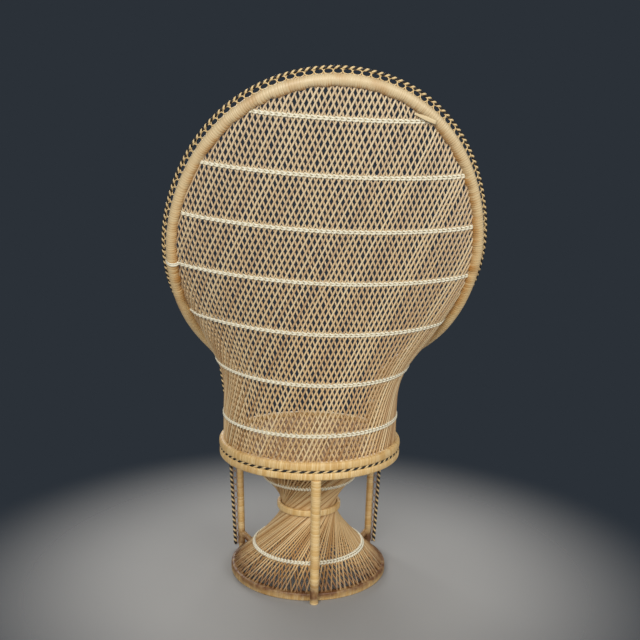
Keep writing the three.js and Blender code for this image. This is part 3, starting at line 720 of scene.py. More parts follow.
def twist_materials(context):
    """Natural and black cane, in the order of a twist's strands."""
    return [material(context, name) for name in ("natural_split_cane", "black_dyed_cane")]


def bound_piece(context, name, node, line, section, strip, draw):
    """A hoop or ring closely wound with peel, as a piece of its own."""
    hoop = Strands()
    bind(hoop, line, section, strip, context.scene.chair_edging.groove, draw)
    hoop.piece(name, [material(context, "rattan_peel_binding")], "peel_binding", node)


# The hourglass
class Hourglass:
    """A ruled surface of straight reeds that touch the waist."""

    def __init__(self, base):
        self.foot_radius = (FOOT_HIGH.x - FOOT_LOW.x - base.ring_width) / 2
        self.foot = base.ring_height
        self.waist = WAIST_HOOP[2]
        self.waist_radius = base.waist_radius
        self.slope = math.sqrt(self.foot_radius ** 2 - self.waist_radius ** 2) / (self.waist - self.foot)
        self.top = LOWER_HOOP[2] - base.rail_thick / 2 - FIT_GAP - base.top_ring_height

    def radius(self, height, out=0.0):
        """Radius of the wall at a height, or of a layer that stands out from it at the waist."""
        return np.hypot(self.waist_radius + out, self.slope * (height - self.waist))

    def outward(self, angle, height):
        """Direction square to the wall."""
        fall = -self.slope ** 2 * (height - self.waist) / self.radius(height)
        return unit(around(1.0, angle, fall))

    def reed(self, angle, layer, out, height):
        """Points of one reed. The outer layer climbs towards -X at the back, the inner one towards +X."""
        run = -layer * self.slope * (height - self.waist)
        return (around(self.waist_radius + layer * out, angle, height)
                + around(1.0, angle + np.pi / 2, 0.0) * run[:, None])


# How far the base's reeds reach into the rings that they are nailed to
NAIL_DEPTH = 5 * MM
# How far the waist's tape stands off the inner side of its hoop, and how high it is beside the hoop
TAPE_GAP = 4 * MM
TAPE_FULLNESS = 1.1
# The base's reeds: points, spread of thickness, and a layer's distance from the wall as a share of thickness
BASE_REED_POINTS = 15
BASE_REED_SPREAD = 0.86, 1.1
BASE_LAYER = 0.56
# Each layer's side of the wall, piece, node and palest tone. The inner layer's tones stay deep: painted shade
# inside the hourglass
BASE_LAYERS = (
    (-1, "base_reeds_inner", "foot_ring_with_inner_reeds", 0.85),
    (1, "base_reeds_outer", "top_ring_with_outer_reeds", 0.25),
)


class CHAIR_OT_hourglass(Operator):
    """Reeds, rings and waist hoop of the base"""
    bl_idname = "chair.hourglass"
    bl_label = "Hourglass base"

    def execute(self, context):
        base, edging = context.scene.chair_base, context.scene.chair_edging
        glass = Hourglass(base)
        draw = np.random.default_rng(11)
        foot = circle(glass.foot_radius, base.ring_height / 2)
        section = flat_section(base.ring_width, base.ring_height)
        bound_piece(context, "foot_ring", "foot_ring_with_inner_reeds", foot, section,
                    edging.post_strip, draw)

        top = circle(glass.radius(glass.top), glass.top + base.top_ring_height / 2)
        section = flat_section(base.top_ring_width, base.top_ring_height)
        bound_piece(context, "base_top_ring", "top_ring_with_outer_reeds", top, section,
                    edging.hoop_strip, draw)

        radius, thick, height = WAIST_HOOP
        waist = circle(radius - ((thick - base.waist_tape) / 2 - TAPE_GAP), height)
        section = flat_section(base.waist_tape, thick * TAPE_FULLNESS)
        bound_piece(context, "waist_hoop_binding", "waist_hoop", waist, section, edging.hoop_strip, draw)

        reed = material(context, "rattan_core_reed")
        for layer, name, node, palest in BASE_LAYERS:
            reeds = Strands()
            rise = np.linspace(glass.foot - NAIL_DEPTH, glass.top + NAIL_DEPTH, BASE_REED_POINTS)
            for i in range(base.reed_count):
                angle = i * 2 * np.pi / base.reed_count + draw.normal(0, base.reed_jitter)
                centres = glass.reed(angle, layer, base.reed_thick * BASE_LAYER, rise)
                normals = glass.outward(np.arctan2(centres[:, 0], centres[:, 1]), rise)
                thick = base.reed_thick * draw.uniform(*BASE_REED_SPREAD)
                reeds.add(rings(centres, normals, thick, thick), tone=draw.uniform(palest, 1))
            reeds.piece(name, [reed], "round_reed", node)
        return {"FINISHED"}


# Twining: steps from one column of reeds to the next, how far past a reed's thickness it swings in and out,
# how unevenly it lies, and how much fuller it is round the base
COLUMN_STEPS = 10
BAND_GRIP = 1 * MM
BAND_UNEVEN = 0.2 * MM
BASE_BAND_FULLNESS = 1.1


def twine(strands, centre_at, start, end, pitch, phase, depth, edging, closed, draw, fullness=1.0):
    """Two rows of flat canes that swap sides in pairs between the columns of reeds they grip.
    centre_at gives the point, the outward and the upward direction at a place along the band. The columns
    stand half a pitch from the phase, and a pitch apart."""
    place = np.linspace(start, end, round((end - start) / pitch * COLUMN_STEPS) + 1)
    if closed:
        place = place[:-1]
    count = (place - phase) / pitch
    point, outward, upward = centre_at(place)
    for strand, row in ((0, 1), (1, 1), (0, -1), (1, -1)):
        angle = np.pi * (count - 0.5 + strand)
        swing = row * (edging.twine_row + edging.twine_rise * np.sin(angle)) * fullness
        swing = swing + draw.normal(0, BAND_UNEVEN, len(place))
        centres = point + outward * (depth * np.cos(angle))[:, None] + upward * swing[:, None]
        wide, thick = edging.cane_wide * fullness, edging.cane_thick * fullness
        shape = rings(centres, outward, wide, thick, closed=closed)
        strands.add(shape, closed, draw.uniform(*CANE_TONES))


class CHAIR_OT_base_bands(Operator):
    """The two twined cream bands round the hourglass"""
    bl_idname = "chair.base_bands"
    bl_label = "Base bands"

    def execute(self, context):
        base, edging = context.scene.chair_base, context.scene.chair_edging
        glass = Hourglass(base)
        draw = np.random.default_rng(12)
        cream = material(context, "bleached_split_cane")
        pitch = 2 * np.pi / base.reed_count
        for node in ("base_band_lower", "base_band_upper"):
            height = frame_middle(node).z

            def on_wall(angle, height=height):
                level = np.full_like(angle, height)
                outward = glass.outward(angle, level)
                upward = unit(np.cross(outward, around(1.0, angle + np.pi / 2, 0.0)))
                return around(glass.radius(level), angle, level), outward, upward * np.sign(upward[:, 2:])

            band = Strands()
            twine(band, on_wall, 0, 2 * np.pi, pitch, 0, base.reed_thick + BAND_GRIP, edging, True, draw,
                  BASE_BAND_FULLNESS)
            band.piece(node + "_twining", [cream], "cream_cane", node)
        return {"FINISHED"}


# The seat
UP = np.array([0, 0, 1.0])
HOOP_SQUARENESS = 0.58
HOOP_STEPS = 720
# Rails: points, sides and tones, how far they bow and in which waves, and how their joints draw them in
RAIL_POINTS, RAIL_SIDES, RAIL_TONES = 60, 14, (0.3, 0.9)
RAIL_BOW, RAIL_WAVES, RAIL_SHIFT = 0.35 * MM, 40, 90
RAIL_JOINTS, RAIL_JOINT_WIDTH, RAIL_JOINT_DEPTH = 5.2, 0.03, 0.04


class CHAIR_OT_seat_frame(Operator):
    """The two bound hoops, the twisted cord between them and the rails"""
    bl_idname = "chair.seat_frame"
    bl_label = "Seat frame"

    def execute(self, context):
        base, seat, edging = context.scene.chair_base, context.scene.chair_seat, context.scene.chair_edging
        draw = np.random.default_rng(13)
        for node in ("lower_seat_hoop", "upper_seat_hoop"):
            radius, thick, height = frame_ring(node)
            line = circle(radius, height, HOOP_STEPS)
            section = flat_section(thick, thick, squareness=HOOP_SQUARENESS)
            bound_piece(context, node + "_binding", node, line, section, edging.hoop_strip, draw)

        low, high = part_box("seat_cord")
        radius = (high.x - low.x - seat.cord_thick) / 2 - seat.cord_sink
        line = circle(radius, frame_middle("seat_cord").z, HOOP_STEPS)
        cord = Strands()
        twist(cord, line, seat.cord_thick, seat.cord_pitch, 0, line.length, draw)
        cord.piece("seat_cord_twist", twist_materials(context), "two_tone_twist", "seat_cord")

        reed = material(context, "rattan_core_reed")
        for node in ("seat_rail_1", "seat_rail_2", "seat_rail_3"):
            low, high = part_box(node)
            middle = frame_middle(node)
            rail = Strands()
            y = np.linspace(low.y, high.y, RAIL_POINTS)
            bow = RAIL_BOW * np.sin(y * RAIL_WAVES + middle.x * RAIL_SHIFT)
            centres = np.stack([middle.x + bow, y, np.full_like(y, middle.z)], -1) - AXIS
            joint = smooth(np.abs((y * RAIL_JOINTS) % 1 - 0.5), RAIL_JOINT_WIDTH, 0.0)
            thick = base.rail_thick * (1 - RAIL_JOINT_DEPTH * joint)
            shape = rings(centres, np.tile(UP, (RAIL_POINTS, 1)), thick, thick, RAIL_SIDES)
            rail.add(shape, tone=draw.uniform(*RAIL_TONES))
            rail.piece(node + "_pole", [reed], "round_reed", node)
        return {"FINISHED"}


# Weavers: how far the weave lies under the hoop's middle and how flat a weaver is, as shares of its thickness
WEAVE_SINK, WEAVER_FLATNESS = 0.4, 0.8
# Spokes: points, and where even and odd ones start, in pitches of the twined rounds
SPOKE_POINTS, SPOKE_STARTS = 12, (2, 0.25)
# Rounds: steps from spoke to spoke and fullness, and the twined rounds' shares for their two strands
ROUND_STEPS, ROUND_FULLNESS, WALE_SHARES = 6, 1.08, (0.56, 0.56)
# Tones over 1 mix towards a brown reed, which on the seat is painted shade
SPOKE_TONES, ROUND_TONES, WALE_TONES = (1.2, 1.8), (0.9, 1.8), (0.8, 1.3)


class CHAIR_OT_woven_seat(Operator):
    """Rounds of reed woven over and under spokes, locked by twined rounds"""
    bl_idname = "chair.woven_seat"
    bl_label = "Woven seat"

    def execute(self, context):
        seat = context.scene.chair_seat
        draw = np.random.default_rng(14)
        weave = Strands()
        edge = (SEAT_HIGH.x - SEAT_LOW.x) / 2
        level = UPPER_HOOP[2] - seat.reed_thick * WEAVE_SINK
        thick = seat.reed_thick * WEAVER_FLATNESS
        for i in range(seat.spoke_count):
            reach = np.linspace(SPOKE_STARTS[i % 2] * seat.wale_pitch, edge, SPOKE_POINTS)
            centres = around(reach, np.full(SPOKE_POINTS, i * 2 * np.pi / seat.spoke_count), level)
            shape = rings(centres, np.tile(UP, (SPOKE_POINTS, 1)), seat.reed_thick, thick)
            weave.add(shape, tone=draw.uniform(*SPOKE_TONES))
        plain = (seat.wale_pitch - seat.wale_thick) / seat.rounds
        for zone in range(int(edge / seat.wale_pitch) + 1):
            start = zone * seat.wale_pitch
            if zone:
                line = circle(start, SEAT_HIGH.z - seat.wale_thick / 2)
                twist(weave, line, seat.wale_thick, seat.wale_twist, 0, line.length, draw,
                      WALE_SHARES, (0, 0), WALE_TONES)
            for i in range(seat.rounds):
                radius = start + seat.wale_thick / 2 + (i + 0.5) * plain
                if radius > edge - plain / 3:
                    break
                every = radius > SPOKE_STARTS[0] * seat.wale_pitch
                spokes = seat.spoke_count if every else seat.spoke_count // 2
                angle = full_turn(spokes * ROUND_STEPS)
                wave = seat.wave * np.cos(angle * spokes / 2 + (zone * seat.rounds + i) % 2 * np.pi)
                centres = around(radius, -angle, level + wave)
                normals = np.tile(UP, (len(angle), 1))
                shape = rings(centres, normals, plain * ROUND_FULLNESS, thick, closed=True)
                weave.add(shape, True, draw.uniform(*ROUND_TONES))
        weave.piece("seat_weave", [material(context, "rattan_core_reed")], "seat_weave", "woven_seat")
        return {"FINISHED"}


# The posts
def post_point(angle, height):
    """A point on the middle of a post, which leans in towards its foot."""
    reach = POST_FOOT_REACH + (POST_TOP_REACH - POST_FOOT_REACH) * height / POST_TOP
    return around(reach, angle, height)


class CHAIR_OT_posts(Operator):
    """The three bound posts, and the stays that tie the front ones to the base"""
    bl_idname = "chair.posts"
    bl_label = "Posts"

    def execute(self, context):
        base, posts, edging = context.scene.chair_base, context.scene.chair_posts, context.scene.chair_edging
        draw = np.random.default_rng(15)
        glass = Hourglass(base)
        peel = material(context, "rattan_peel_binding")
        for node, angle in (("rear_post", 0.0), ("front_post_left", posts.front_turn),
                            ("front_post_right", -posts.front_turn)):
            post = Strands()
            line = straight(post_point(angle, 0.0), post_point(angle, POST_TOP), around(1.0, angle, 0.0))
            swell, share = (1.0, posts.front_share) if angle else (posts.rear_swell, 1.0)
            section = round_section(POST_RADIUS * share)
            bind(post, line, section, edging.post_strip, edging.groove, draw, swell=swell)
            if angle:
                start = post_point(angle, base.stay_height)
                fall = base.stay_height - base.stay_drop
                end = around(glass.radius(fall), angle, fall)
                stay = straight(start, end, around(1.0, angle + np.pi / 2, 0.0))
                bind(post, stay, round_section(base.stay_thick / 2), edging.post_strip, edging.groove, draw)
            post.piece(node + "_binding", [peel], "peel_binding", node)
        return {"FINISHED"}


# Ovals of the cane chain: steps in each, and how full they are, from 1 for a wave down to 0 for a box
OVAL_STEPS = 12
OVAL_FULLNESS = 0.36
# The posts' edging: points along it, and tones of its chain, which run over 1 and so to the brown reed
POST_EDGING_POINTS = 40
POST_LOOP_TONES = 1.2, 1.8


def chain(strands, line, start, end, pitch, near, far, cane, draw, tones=CANE_TONES):
    """Two canes that cross between their ovals, from near a pole's skin to far out at a rope."""
    ovals = max(2, round((end - start) / pitch))
    place = np.linspace(start, end, ovals * OVAL_STEPS + 1)
    point, side, normal = line.at(place)
    angle = np.pi * (place - start) / (end - start) * ovals
    middle, swing = (near(place) + far(place)) / 2, (far(place) - near(place)) / 2
    for strand in (1, -1):
        swell = np.sign(np.sin(angle)) * np.abs(np.sin(angle)) ** OVAL_FULLNESS
        out = middle + strand * swing * swell
        over = strand * np.cos(angle) * cane / 2
        centres = point + side * out[:, None] + normal * over[:, None]
        strands.add(rings(centres, normal, cane, cane), tone=draw.uniform(*tones))


class CHAIR_OT_post_edging(Operator):
    """The twisted rope and the cane chain beside each front post"""
    bl_idname = "chair.post_edging"
    bl_label = "Post edging"

    def execute(self, context):
        posts, edging = context.scene.chair_posts, context.scene.chair_edging
        draw = np.random.default_rng(16)
        reed = material(context, "rattan_core_reed")
        for name, angle, backwards in (("left", posts.front_turn, -1), ("right", -posts.front_turn, 1)):
            outward = around(1.0, angle + backwards * posts.edging_turn, 0.0)
            heights = np.linspace(posts.rope_end, POST_TOP, POST_EDGING_POINTS)
            share = (heights - posts.rope_end) / (POST_TOP - posts.rope_end)
            standoff = POST_RADIUS + posts.rope_foot + (posts.rope_top - posts.rope_foot) * share
            middles = post_point(angle, heights)
            sides = np.tile(outward, (POST_EDGING_POINTS, 1))
            rope_line = Line(middles + outward * standoff[:, None], sides)
            rope = Strands()
            twist(rope, rope_line, posts.rope_thick, posts.rope_pitch, 0, rope_line.length, draw)
            node = f"post_rope_{name}"
            rope.piece(node + "_twist", twist_materials(context), "two_tone_twist", node)

            post_line = Line(middles, sides)
            near = POST_RADIUS * posts.front_share + posts.loop_cane / 2

            def to_rope(place):
                reach = np.interp(place, post_line.distance, standoff) - posts.rope_thick / 2
                return np.maximum(reach, near + posts.loop_cane / 2)

            loops = Strands()
            chain(loops, post_line, 0, post_line.length, edging.loop_pitch,
                  lambda place: np.full_like(place, near), to_rope, posts.loop_cane, draw, POST_LOOP_TONES)
            node = f"post_loops_{name}"
            loops.piece(node + "_chain", [reed], "round_reed", node)
        return {"FINISHED"}


# The shell
class Shell:
    """The surface of barrel and fan, by the distance round from the middle of the back and up along it."""
    STEP = 2 * MM  # between the heights at which the back's curve is worked out
    SINK = 12 * MM  # how far poles and reeds reach down into the hoop's binding
    ROOM = 1.2  # how high the back's curve is worked out, as a share of the height of the rim's top

    def __init__(self, scene):
        shell = self.sizes = scene.chair_shell
        self.foot = UPPER_HOOP[2] + UPPER_HOOP[1] / 2 + FIT_GAP
        self.barrel = UPPER_HOOP[0] - shell.inset
        self.arm_reach = self.barrel * scene.chair_posts.front_turn
        self.band_step = (shell.fan_height - shell.top_band_drop - shell.first_band) / (shell.band_count - 1)
        self.slope = shell.lattice_pitch * shell.lattice_rows / (2 * self.band_step)
        self.steps = np.arange(-self.SINK, shell.fan_height * self.ROOM, self.STEP)
        lean = self.lean(self.steps[:-1] + self.STEP / 2)
        self.back_y = self.barrel + self.STEP * summed(np.sin(lean))
        self.back_z = self.foot - self.SINK + self.STEP * summed(np.cos(lean))

    def lean(self, along):
        """How far the back leans at a height."""
        return self.sizes.lean_back * smooth(along, 0, self.sizes.lean_end)

    def radius(self, along):
        """Radius of the shell's curve at a height. It opens without a jump in curvature."""
        s = self.sizes
        share = np.clip((along - s.flare_start) / (s.flare_end - s.flare_start), 0, 1)
        return self.barrel + (s.fan_radius - self.barrel) * share ** 3 * (share * (6 * share - 15) + 10)

    def outward(self, across, along):
        """Direction square to the surface, away from the sitter."""
        angle, lean = across / self.radius(along), self.lean(along)
        return np.stack([np.sin(angle), np.cos(angle) * np.cos(lean), -np.cos(angle) * np.sin(lean)], -1)

    def at(self, across, along, out=0.0):
        """A point of the surface, or of a layer that stands out from it."""
        across, along, out = np.broadcast_arrays(across, along, out)
        radius, lean = self.radius(along), self.lean(along)
        y = np.interp(along, self.steps, self.back_y) - radius * np.cos(lean)
        z = np.interp(along, self.steps, self.back_z) + radius * np.sin(lean)
        centre = np.stack([np.zeros_like(y), y, z], -1)
        point = centre + self.outward(across, along) * (radius + out)[..., None]
        settle = np.tan(self.sizes.lean_side * smooth(along, 0, self.sizes.lean_side_end))
        x, z = point[..., 0].copy(), point[..., 2].copy()
        point[..., 0] = x - (z - self.foot) * settle
        point[..., 2] = z + x * settle
        return point

    def reach(self, along):
        """How far round the rim stands at a height."""
        s = self.sizes
        share = np.clip((along - s.fan_widest) / (s.fan_height - s.fan_widest), 0, 1)
        below = self.arm_reach + (s.fan_reach - self.arm_reach) * smooth(along, 0, s.arm_top)
        return np.where(along > s.fan_widest, s.fan_reach * np.sqrt(1 - share ** 2), below)

    def dip(self, across, along):
        """How far the lattice passes to the front of the rim pole, close to it."""
        s = self.sizes
        depth = s.reed_dip + (s.arm_dip - s.reed_dip) * smooth(along, s.fan_widest, s.lean_side_end)
        return depth * smooth(self.reach(along) - np.abs(across), s.dip_width, 0)

    def rim(self, fan_tilt, arm_tilt, turn_start, turn_end, samples=700):
        """The rim's middle line, from the left arm over the top to the right arm. Its sides lean from the
        edge of the shell towards its front by one tilt on the arms and by another round the fan."""
        s = self.sizes
        rise = np.linspace(-self.SINK, s.fan_widest, samples // 2, endpoint=False)
        angle = np.linspace(0, np.pi / 2, samples // 2)
        along = np.concatenate([rise, s.fan_widest + (s.fan_height - s.fan_widest) * np.sin(angle)])
        across = np.concatenate([self.reach(rise), s.fan_reach * np.cos(angle)])
        along = np.concatenate([along, along[-2::-1]])
        across = np.concatenate([across, -across[-2::-1]])
        points = self.at(across, along)
        skin = self.outward(across, along)
        edge = unit(np.cross(skin, np.gradient(points, axis=0)))
        middle = self.at(np.zeros_like(along), np.minimum(along, s.fan_widest))
        edge *= np.where(np.sum(edge * (points - middle), -1) < 0, -1, 1)[:, None]
        tilt = (arm_tilt + (fan_tilt - arm_tilt) * smooth(along, turn_start, turn_end))[:, None]
        return Line(points, unit(edge * np.cos(tilt) - skin * np.sin(tilt)))


RIM_LENGTHS = [f"rim_{part}_{side}" for part in ("arm", "flank", "arch") for side in ("left", "right")]
RIM_SIDES = 16
# How much painted shade deepens the colour of the rim's inner side, and how far its lumps stand out there
RIM_SHADE = 0.52
RIM_LUMPS = 5.5 * MM
# The loose end of peel: its size, where it starts and how far it settles as shares of the rim's radius, and
# how wide it is, how much it narrows and from where, as shares of a strip's width and of its run
LOOSE_RUN, LOOSE_RISE, LOOSE_THICK, LOOSE_POINTS = 56 * MM, 20 * MM, 1.4 * MM, 14
LOOSE_START, LOOSE_SETTLE = 0.8, 0.5
LOOSE_WIDE, LOOSE_NARROWS, LOOSE_TAPER = 1.9, 0.9, 0.4


class CHAIR_OT_rim(Operator):
    """The bound pole round arms and fan"""
    bl_idname = "chair.rim"
    bl_label = "Rim"

    def execute(self, context):
        shell, edging = context.scene.chair_shell, context.scene.chair_edging
        draw = np.random.default_rng(17)
        surface = Shell(context.scene)
        rim = Strands()
        # The line's sides point to where the rim's peel is painted palest, and the opposite side gets painted
        # shade
        line = surface.rim(edging.painted_light_tilt, edging.painted_light_arm_tilt, edging.painted_light_start, edging.painted_light_end)
        bind(rim, line, round_section(shell.rim_radius, RIM_SIDES), edging.rim_strip, edging.rim_groove, draw,
             RIM_SHADE, RIM_LUMPS)
        self.loose_end(rim, surface, edging)
        rim.piece("rim_binding", [material(context, "rattan_peel_binding")], "peel_binding", *RIM_LENGTHS)
        return {"FINISHED"}

    def loose_end(self, rim, surface, edging):
        """A length of peel that has come loose where the highest band meets the rim."""
        s = surface.sizes
        share = np.linspace(0, 1, LOOSE_POINTS)
        along = s.fan_height - s.top_band_drop + LOOSE_RISE * share
        across = -surface.reach(along[0]) + LOOSE_START * s.rim_radius + LOOSE_RUN * share
        out = s.rim_radius * (1.0 - LOOSE_SETTLE * smooth(share, 0, 1))
        wide = edging.rim_strip * (LOOSE_WIDE - LOOSE_NARROWS * smooth(share, LOOSE_TAPER, 1))
        normals = surface.outward(across, along)
        rim.add(rings(surface.at(across, along, out), normals, wide, LOOSE_THICK), tone=1.0)


# The lattice's reeds: points in a full height and at least, spread of thickness, and a layer's distance from
# the surface as a share of thickness
REED_POINTS, REED_POINTS_LEAST = 64, 6
REED_SPREAD = 0.88, 1.08
REED_LAYER = 0.45
# Heights at which a reed is tried, its shortest length, and the waves that hand work leaves in it
LATTICE_HEIGHTS = 800
SHORTEST_REED = 12 * MM
HAND_WAVES, HAND_PHASES = 9, (0, 6)
# Each layer's side of the surface, piece and deepest tone. The inner layer's tones stay pale: painted light
# against the shade that the outer layer casts on it
SHELL_LAYERS = (1, "shell_reeds_outer", 1.0), (-1, "shell_reeds_inner", 0.5)


class CHAIR_OT_lattice(Operator):
    """The two layers of crossing reeds"""
    bl_idname = "chair.lattice"
    bl_label = "Lattice"

    def execute(self, context):
        shell = context.scene.chair_shell
        surface = Shell(context.scene)
        draw = np.random.default_rng(18)
        reed = material(context, "rattan_core_reed")
        most = int((surface.arm_reach + surface.slope * shell.fan_height) / shell.lattice_pitch) + 1
        heights = np.linspace(-surface.SINK / 2, shell.fan_height, LATTICE_HEIGHTS)
        for layer, name, deepest in SHELL_LAYERS:
            reeds = Strands()
            for i in range(-most, most):
                drift = draw.normal(0, shell.reed_jitter, 2)
                phase, tone = draw.uniform(*HAND_PHASES), draw.uniform(0, deepest)
                thick = shell.reed_thick * draw.uniform(*REED_SPREAD)

                def across(along):
                    hand = drift[0] + drift[1] * np.sin(along * HAND_WAVES + phase)
                    climb = layer * surface.slope * (along - shell.first_band)
                    return shell.lattice_pitch * (i + 0.5) - climb + hand

                inside = heights[np.abs(across(heights)) < surface.reach(heights)]
                if len(inside) < 2 or inside[-1] - inside[0] < SHORTEST_REED:
                    continue
                points = int(REED_POINTS * (inside[-1] - inside[0]) / shell.fan_height)
                along = np.linspace(inside[0], inside[-1], max(REED_POINTS_LEAST, points))
                place = across(along)
                out = layer * shell.reed_thick * REED_LAYER - surface.dip(place, along)
                centres = surface.at(place, along, out)
                reeds.add(rings(centres, surface.outward(place, along), thick, thick), tone=tone)
            reeds.piece(name, [reed], "round_reed", *RIM_LENGTHS)
        return {"FINISHED"}


# How far a band's ends stop short of the rim's middle, as a share of its radius
BAND_TUCK = 0.3
# The band, counted from below, whose end at +X is wound round the rim, with its turns and the steps of each
WOUND_BAND, WOUND_TURNS, WOUND_STEPS = 4, 2, 20


class CHAIR_OT_bands(Operator):
    """The twined cream bands across barrel and fan"""
    bl_idname = "chair.bands"
    bl_label = "Shell bands"

    def execute(self, context):
        shell, edging = context.scene.chair_shell, context.scene.chair_edging
        surface = Shell(context.scene)
        draw = np.random.default_rng(19)
        cream = material(context, "bleached_split_cane")
        for number in range(1, shell.band_count + 1):
            along = shell.first_band + (number - 1) * surface.band_step
            reach = float(surface.reach(np.array(along))) - BAND_TUCK * shell.rim_radius
            phase = -surface.slope * (along - shell.first_band)

            def on_shell(place, along=along):
                level = np.full_like(place, along)
                up = unit(surface.at(place, level + MM) - surface.at(place, level - MM))
                return surface.at(place, level, -surface.dip(place, level)), surface.outward(place, level), up

            band = Strands()
            twine(band, on_shell, -reach, reach, shell.lattice_pitch, phase, shell.reed_thick + BAND_GRIP,
                  edging, False, draw)
            if number == WOUND_BAND:
                self.wind_end(band, surface, edging, along)
            band.piece(f"shell_band_{number}_twining", [cream], "cream_cane",
                       f"shell_band_{number}_outer", f"shell_band_{number}_inner")
        return {"FINISHED"}

    def wind_end(self, band, surface, edging, along):
        """Winds the end of a band's cane round the rim where the two meet, over the rim's lumps."""
        line = surface.rim(edging.tilt, edging.arm_tilt, edging.turn_start, edging.turn_end)
        meeting = surface.at(surface.reach(np.array(along)), along)
        middle = line.distance[np.argmin(np.linalg.norm(line.points - meeting, axis=1))]
        turns = np.linspace(-WOUND_TURNS / 2, WOUND_TURNS / 2, WOUND_TURNS * WOUND_STEPS + 1)
        point, side, normal = line.at(middle + turns * edging.cane_wide)
        angle = (2 * np.pi * turns)[:, None]
        outward = side * np.cos(angle) + normal * np.sin(angle)
        lump = RIM_LUMPS * np.maximum(0, -np.cos(angle))
        centres = point + outward * (surface.sizes.rim_radius + edging.cane_thick / 2 + lump)
        band.add(rings(centres, outward, edging.cane_wide, edging.cane_thick))


# Heights above the hoop between which the edging widens from the fan's to the arms'
ARM_EDGING = 250 * MM, 160 * MM
# How far the chain sinks into the rim's peel, as a share of its cane, and how far it stops short of the
# rope's middle, as a share of the rope's thickness
LOOP_SINK, LOOP_GRIP = 0.3, 0.25


class CHAIR_OT_rim_edging(Operator):
    """The twisted rope and the chain of cane ovals outside the rim"""
    bl_idname = "chair.rim_edging"
    bl_label = "Rim edging"

    def execute(self, context):
        shell, edging = context.scene.chair_shell, context.scene.chair_edging
        draw = np.random.default_rng(20)
        surface = Shell(context.scene)
        line = surface.rim(edging.tilt, edging.arm_tilt, edging.turn_start, edging.turn_end)
        on_arm = smooth(line.points[:, 2] - surface.foot, *ARM_EDGING)
        out = shell.rim_radius + edging.rope_standoff + (edging.arm_standoff - edging.rope_standoff) * on_arm
        path = Line(line.points + line.sides * out[:, None], line.sides)
        clear = path.distance[path.points[:, 2] > UPPER_HOOP[2] + (UPPER_HOOP[1] + edging.rope_thick) / 2]
        rope = Strands()
        twist(rope, path, edging.rope_thick, edging.rope_pitch, clear[0], clear[-1], draw)
        rope.piece("rim_rope_twist", twist_materials(context), "two_tone_twist", "rim_rope")

        near = shell.rim_radius - edging.loop_cane * LOOP_SINK
        span = np.interp([clear[0], clear[-1]], path.distance, line.distance)
        loops = Strands()
        chain(loops, line, span[0], span[1], edging.loop_pitch, lambda place: np.full_like(place, near),
              lambda place: np.interp(place, line.distance, out) - edging.rope_thick * LOOP_GRIP,
              edging.loop_cane, draw)
        loops.piece("rim_loops_chain", [material(context, "natural_split_cane")], "round_reed", "rim_loops")
        return {"FINISHED"}


# The stage
FLOOR_SIDES = 96
FLOOR_ROUGHNESS = 0.85
# Soft boxes: place from the chair's axis and width in metres, power in watts
LAMPS = {
    "key": ((1.2, 3.6, 2.2), 2.4, 122),
    "fill": ((-2.5, 2.7, 1.8), 2.0, 58),
    "front": ((0.4, -3.2, 2.4), 2.4, 88),
}
# Even light from all around, in linear values
AMBIENT = 0.15, 0.15, 0.16


def floor_material(context):
    """A plain pale floor that falls into dark surroundings well away from the chair."""
    colours, stage = context.scene.chair_colours, context.scene.chair_stage
    made, tree, shader = new_material("plain_floor")
    where = add_node(tree, "ShaderNodeTexCoord")
    far = add_node(tree, "ShaderNodeVectorMath", {0: where.outputs["Object"]}, operation="LENGTH")
    fade = add_node(tree, "ShaderNodeMapRange", {"Value": far.outputs["Value"]},
                    {"From Min": stage.floor_pale, "From Max": stage.floor_pale + stage.floor_fade,
                     "To Min": 1.0, "To Max": 0.0}, interpolation_type="SMOOTHSTEP")
    tree.links.new(fade.outputs["Result"], shader.inputs["Alpha"])
    shader.inputs["Base Color"].default_value = opaque(colours.floor)
    shader.inputs["Roughness"].default_value = FLOOR_ROUGHNESS
    return made


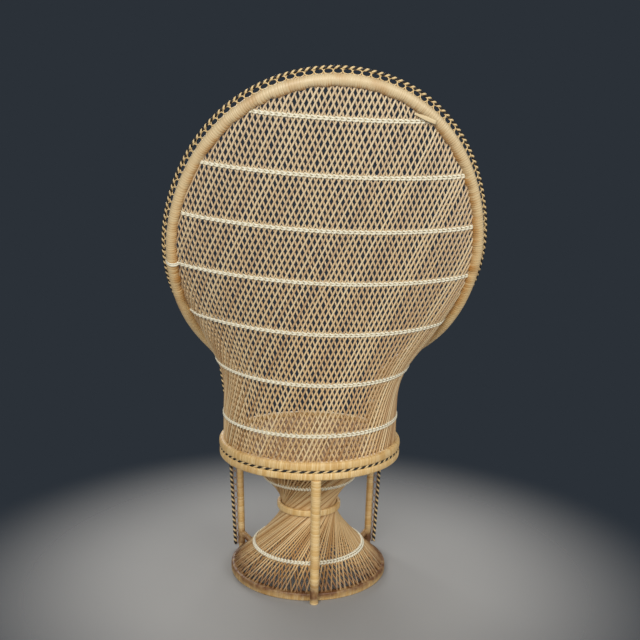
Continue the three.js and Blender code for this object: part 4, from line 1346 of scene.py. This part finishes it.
class CHAIR_OT_stage(Operator):
    """Floor, soft light, surroundings and camera"""
    bl_idname = "chair.stage"
    bl_label = "Stage"

    def execute(self, context):
        scene, stage = context.scene, context.scene.chair_stage
        floor = bpy.data.meshes.new("floor")
        edge = around(stage.floor_pale + stage.floor_fade, -full_turn(FLOOR_SIDES), 0.0)
        floor.from_pydata(edge.tolist(), [], [list(range(FLOOR_SIDES))])
        floor.materials.append(floor_material(context))
        floor = bpy.data.objects.new("floor", floor)
        floor.location = AXIS
        scene.collection.objects.link(floor)

        for name, lamp in LAMPS.items():
            self.light(scene, name, *lamp)
        self.world(scene)
        self.camera(scene, stage)
        scene.view_settings.view_transform = "Standard"
        return {"FINISHED"}

    def light(self, scene, name, place, width, power):
        """A square soft box that looks at the middle of the chair."""
        lamp = bpy.data.lights.new(name, "AREA")
        lamp.size, lamp.energy = width, power
        made = bpy.data.objects.new(name, lamp)
        made.location = Vector(place) + Vector(AXIS)
        aim = Vector(AXIS) + Vector((0, 0, CAD_BOX[1].z / 2)) - made.location
        made.rotation_euler = aim.to_track_quat("-Z", "Y").to_euler()
        scene.collection.objects.link(made)

    def world(self, scene):
        """An even pale light, which the camera sees as dark surroundings."""
        scene.world = bpy.data.worlds.new("studio")
        scene.world.use_nodes = True
        tree = scene.world.node_tree
        sky = tree.nodes["Background"]
        seen = add_node(tree, "ShaderNodeLightPath").outputs["Is Camera Ray"]
        shade = mixed(tree, seen, 0, 1, AMBIENT, scene.chair_colours.backdrop)
        tree.links.new(shade, sky.inputs["Color"])

    def camera(self, scene, stage):
        """A camera behind the chair, a little to one side and looking down."""
        made = bpy.data.objects.new("camera", bpy.data.cameras.new("camera"))
        made.data.lens = stage.lens
        place = around(stage.camera_distance, stage.camera_yaw, stage.camera_height)
        made.location = Vector(AXIS) + Vector(place)
        heading = Matrix.Rotation(math.pi - stage.camera_yaw - stage.camera_pan, 4, "Z")
        pitch = Matrix.Rotation(math.pi / 2 - stage.camera_pitch, 4, "X")
        roll = Matrix.Rotation(stage.camera_roll, 4, "Z")
        made.rotation_euler = (heading @ pitch @ roll).to_euler()
        scene.collection.objects.link(made)
        scene.camera = made


OPERATORS = (
    CHAIR_OT_stage, CHAIR_OT_hourglass, CHAIR_OT_base_bands, CHAIR_OT_seat_frame, CHAIR_OT_woven_seat,
    CHAIR_OT_posts, CHAIR_OT_post_edging, CHAIR_OT_rim, CHAIR_OT_lattice, CHAIR_OT_bands, CHAIR_OT_rim_edging,
)


class CHAIR_PT_panel(Panel):
    """Lists the chair's pieces"""
    bl_idname = "CHAIR_PT_panel"
    bl_label = "Peacock chair"
    bl_space_type = "VIEW_3D"
    bl_region_type = "UI"
    bl_category = "Peacock chair"

    def draw(self, context):
        for operator in OPERATORS:
            self.layout.operator(operator.bl_idname)


GROUPS = {
    "chair_base": BaseSizes,
    "chair_seat": SeatSizes,
    "chair_posts": PostSizes,
    "chair_shell": ShellSizes,
    "chair_edging": EdgingSizes,
    "chair_colours": ChairColours,
    "chair_stage": StageSizes,
}


def register():
    for made in (*GROUPS.values(), *OPERATORS, CHAIR_PT_panel):
        bpy.utils.register_class(made)
    for name, group in GROUPS.items():
        setattr(bpy.types.Scene, name, PointerProperty(type=group))


def unregister():
    for name in GROUPS:
        delattr(bpy.types.Scene, name)
    for made in reversed((*GROUPS.values(), *OPERATORS, CHAIR_PT_panel)):
        bpy.utils.unregister_class(made)


def main():
    register()
    for operator in OPERATORS:
        family, name = operator.bl_idname.split(".")
        getattr(getattr(bpy.ops, family), name)()


if __name__ == "__main__":
    main()
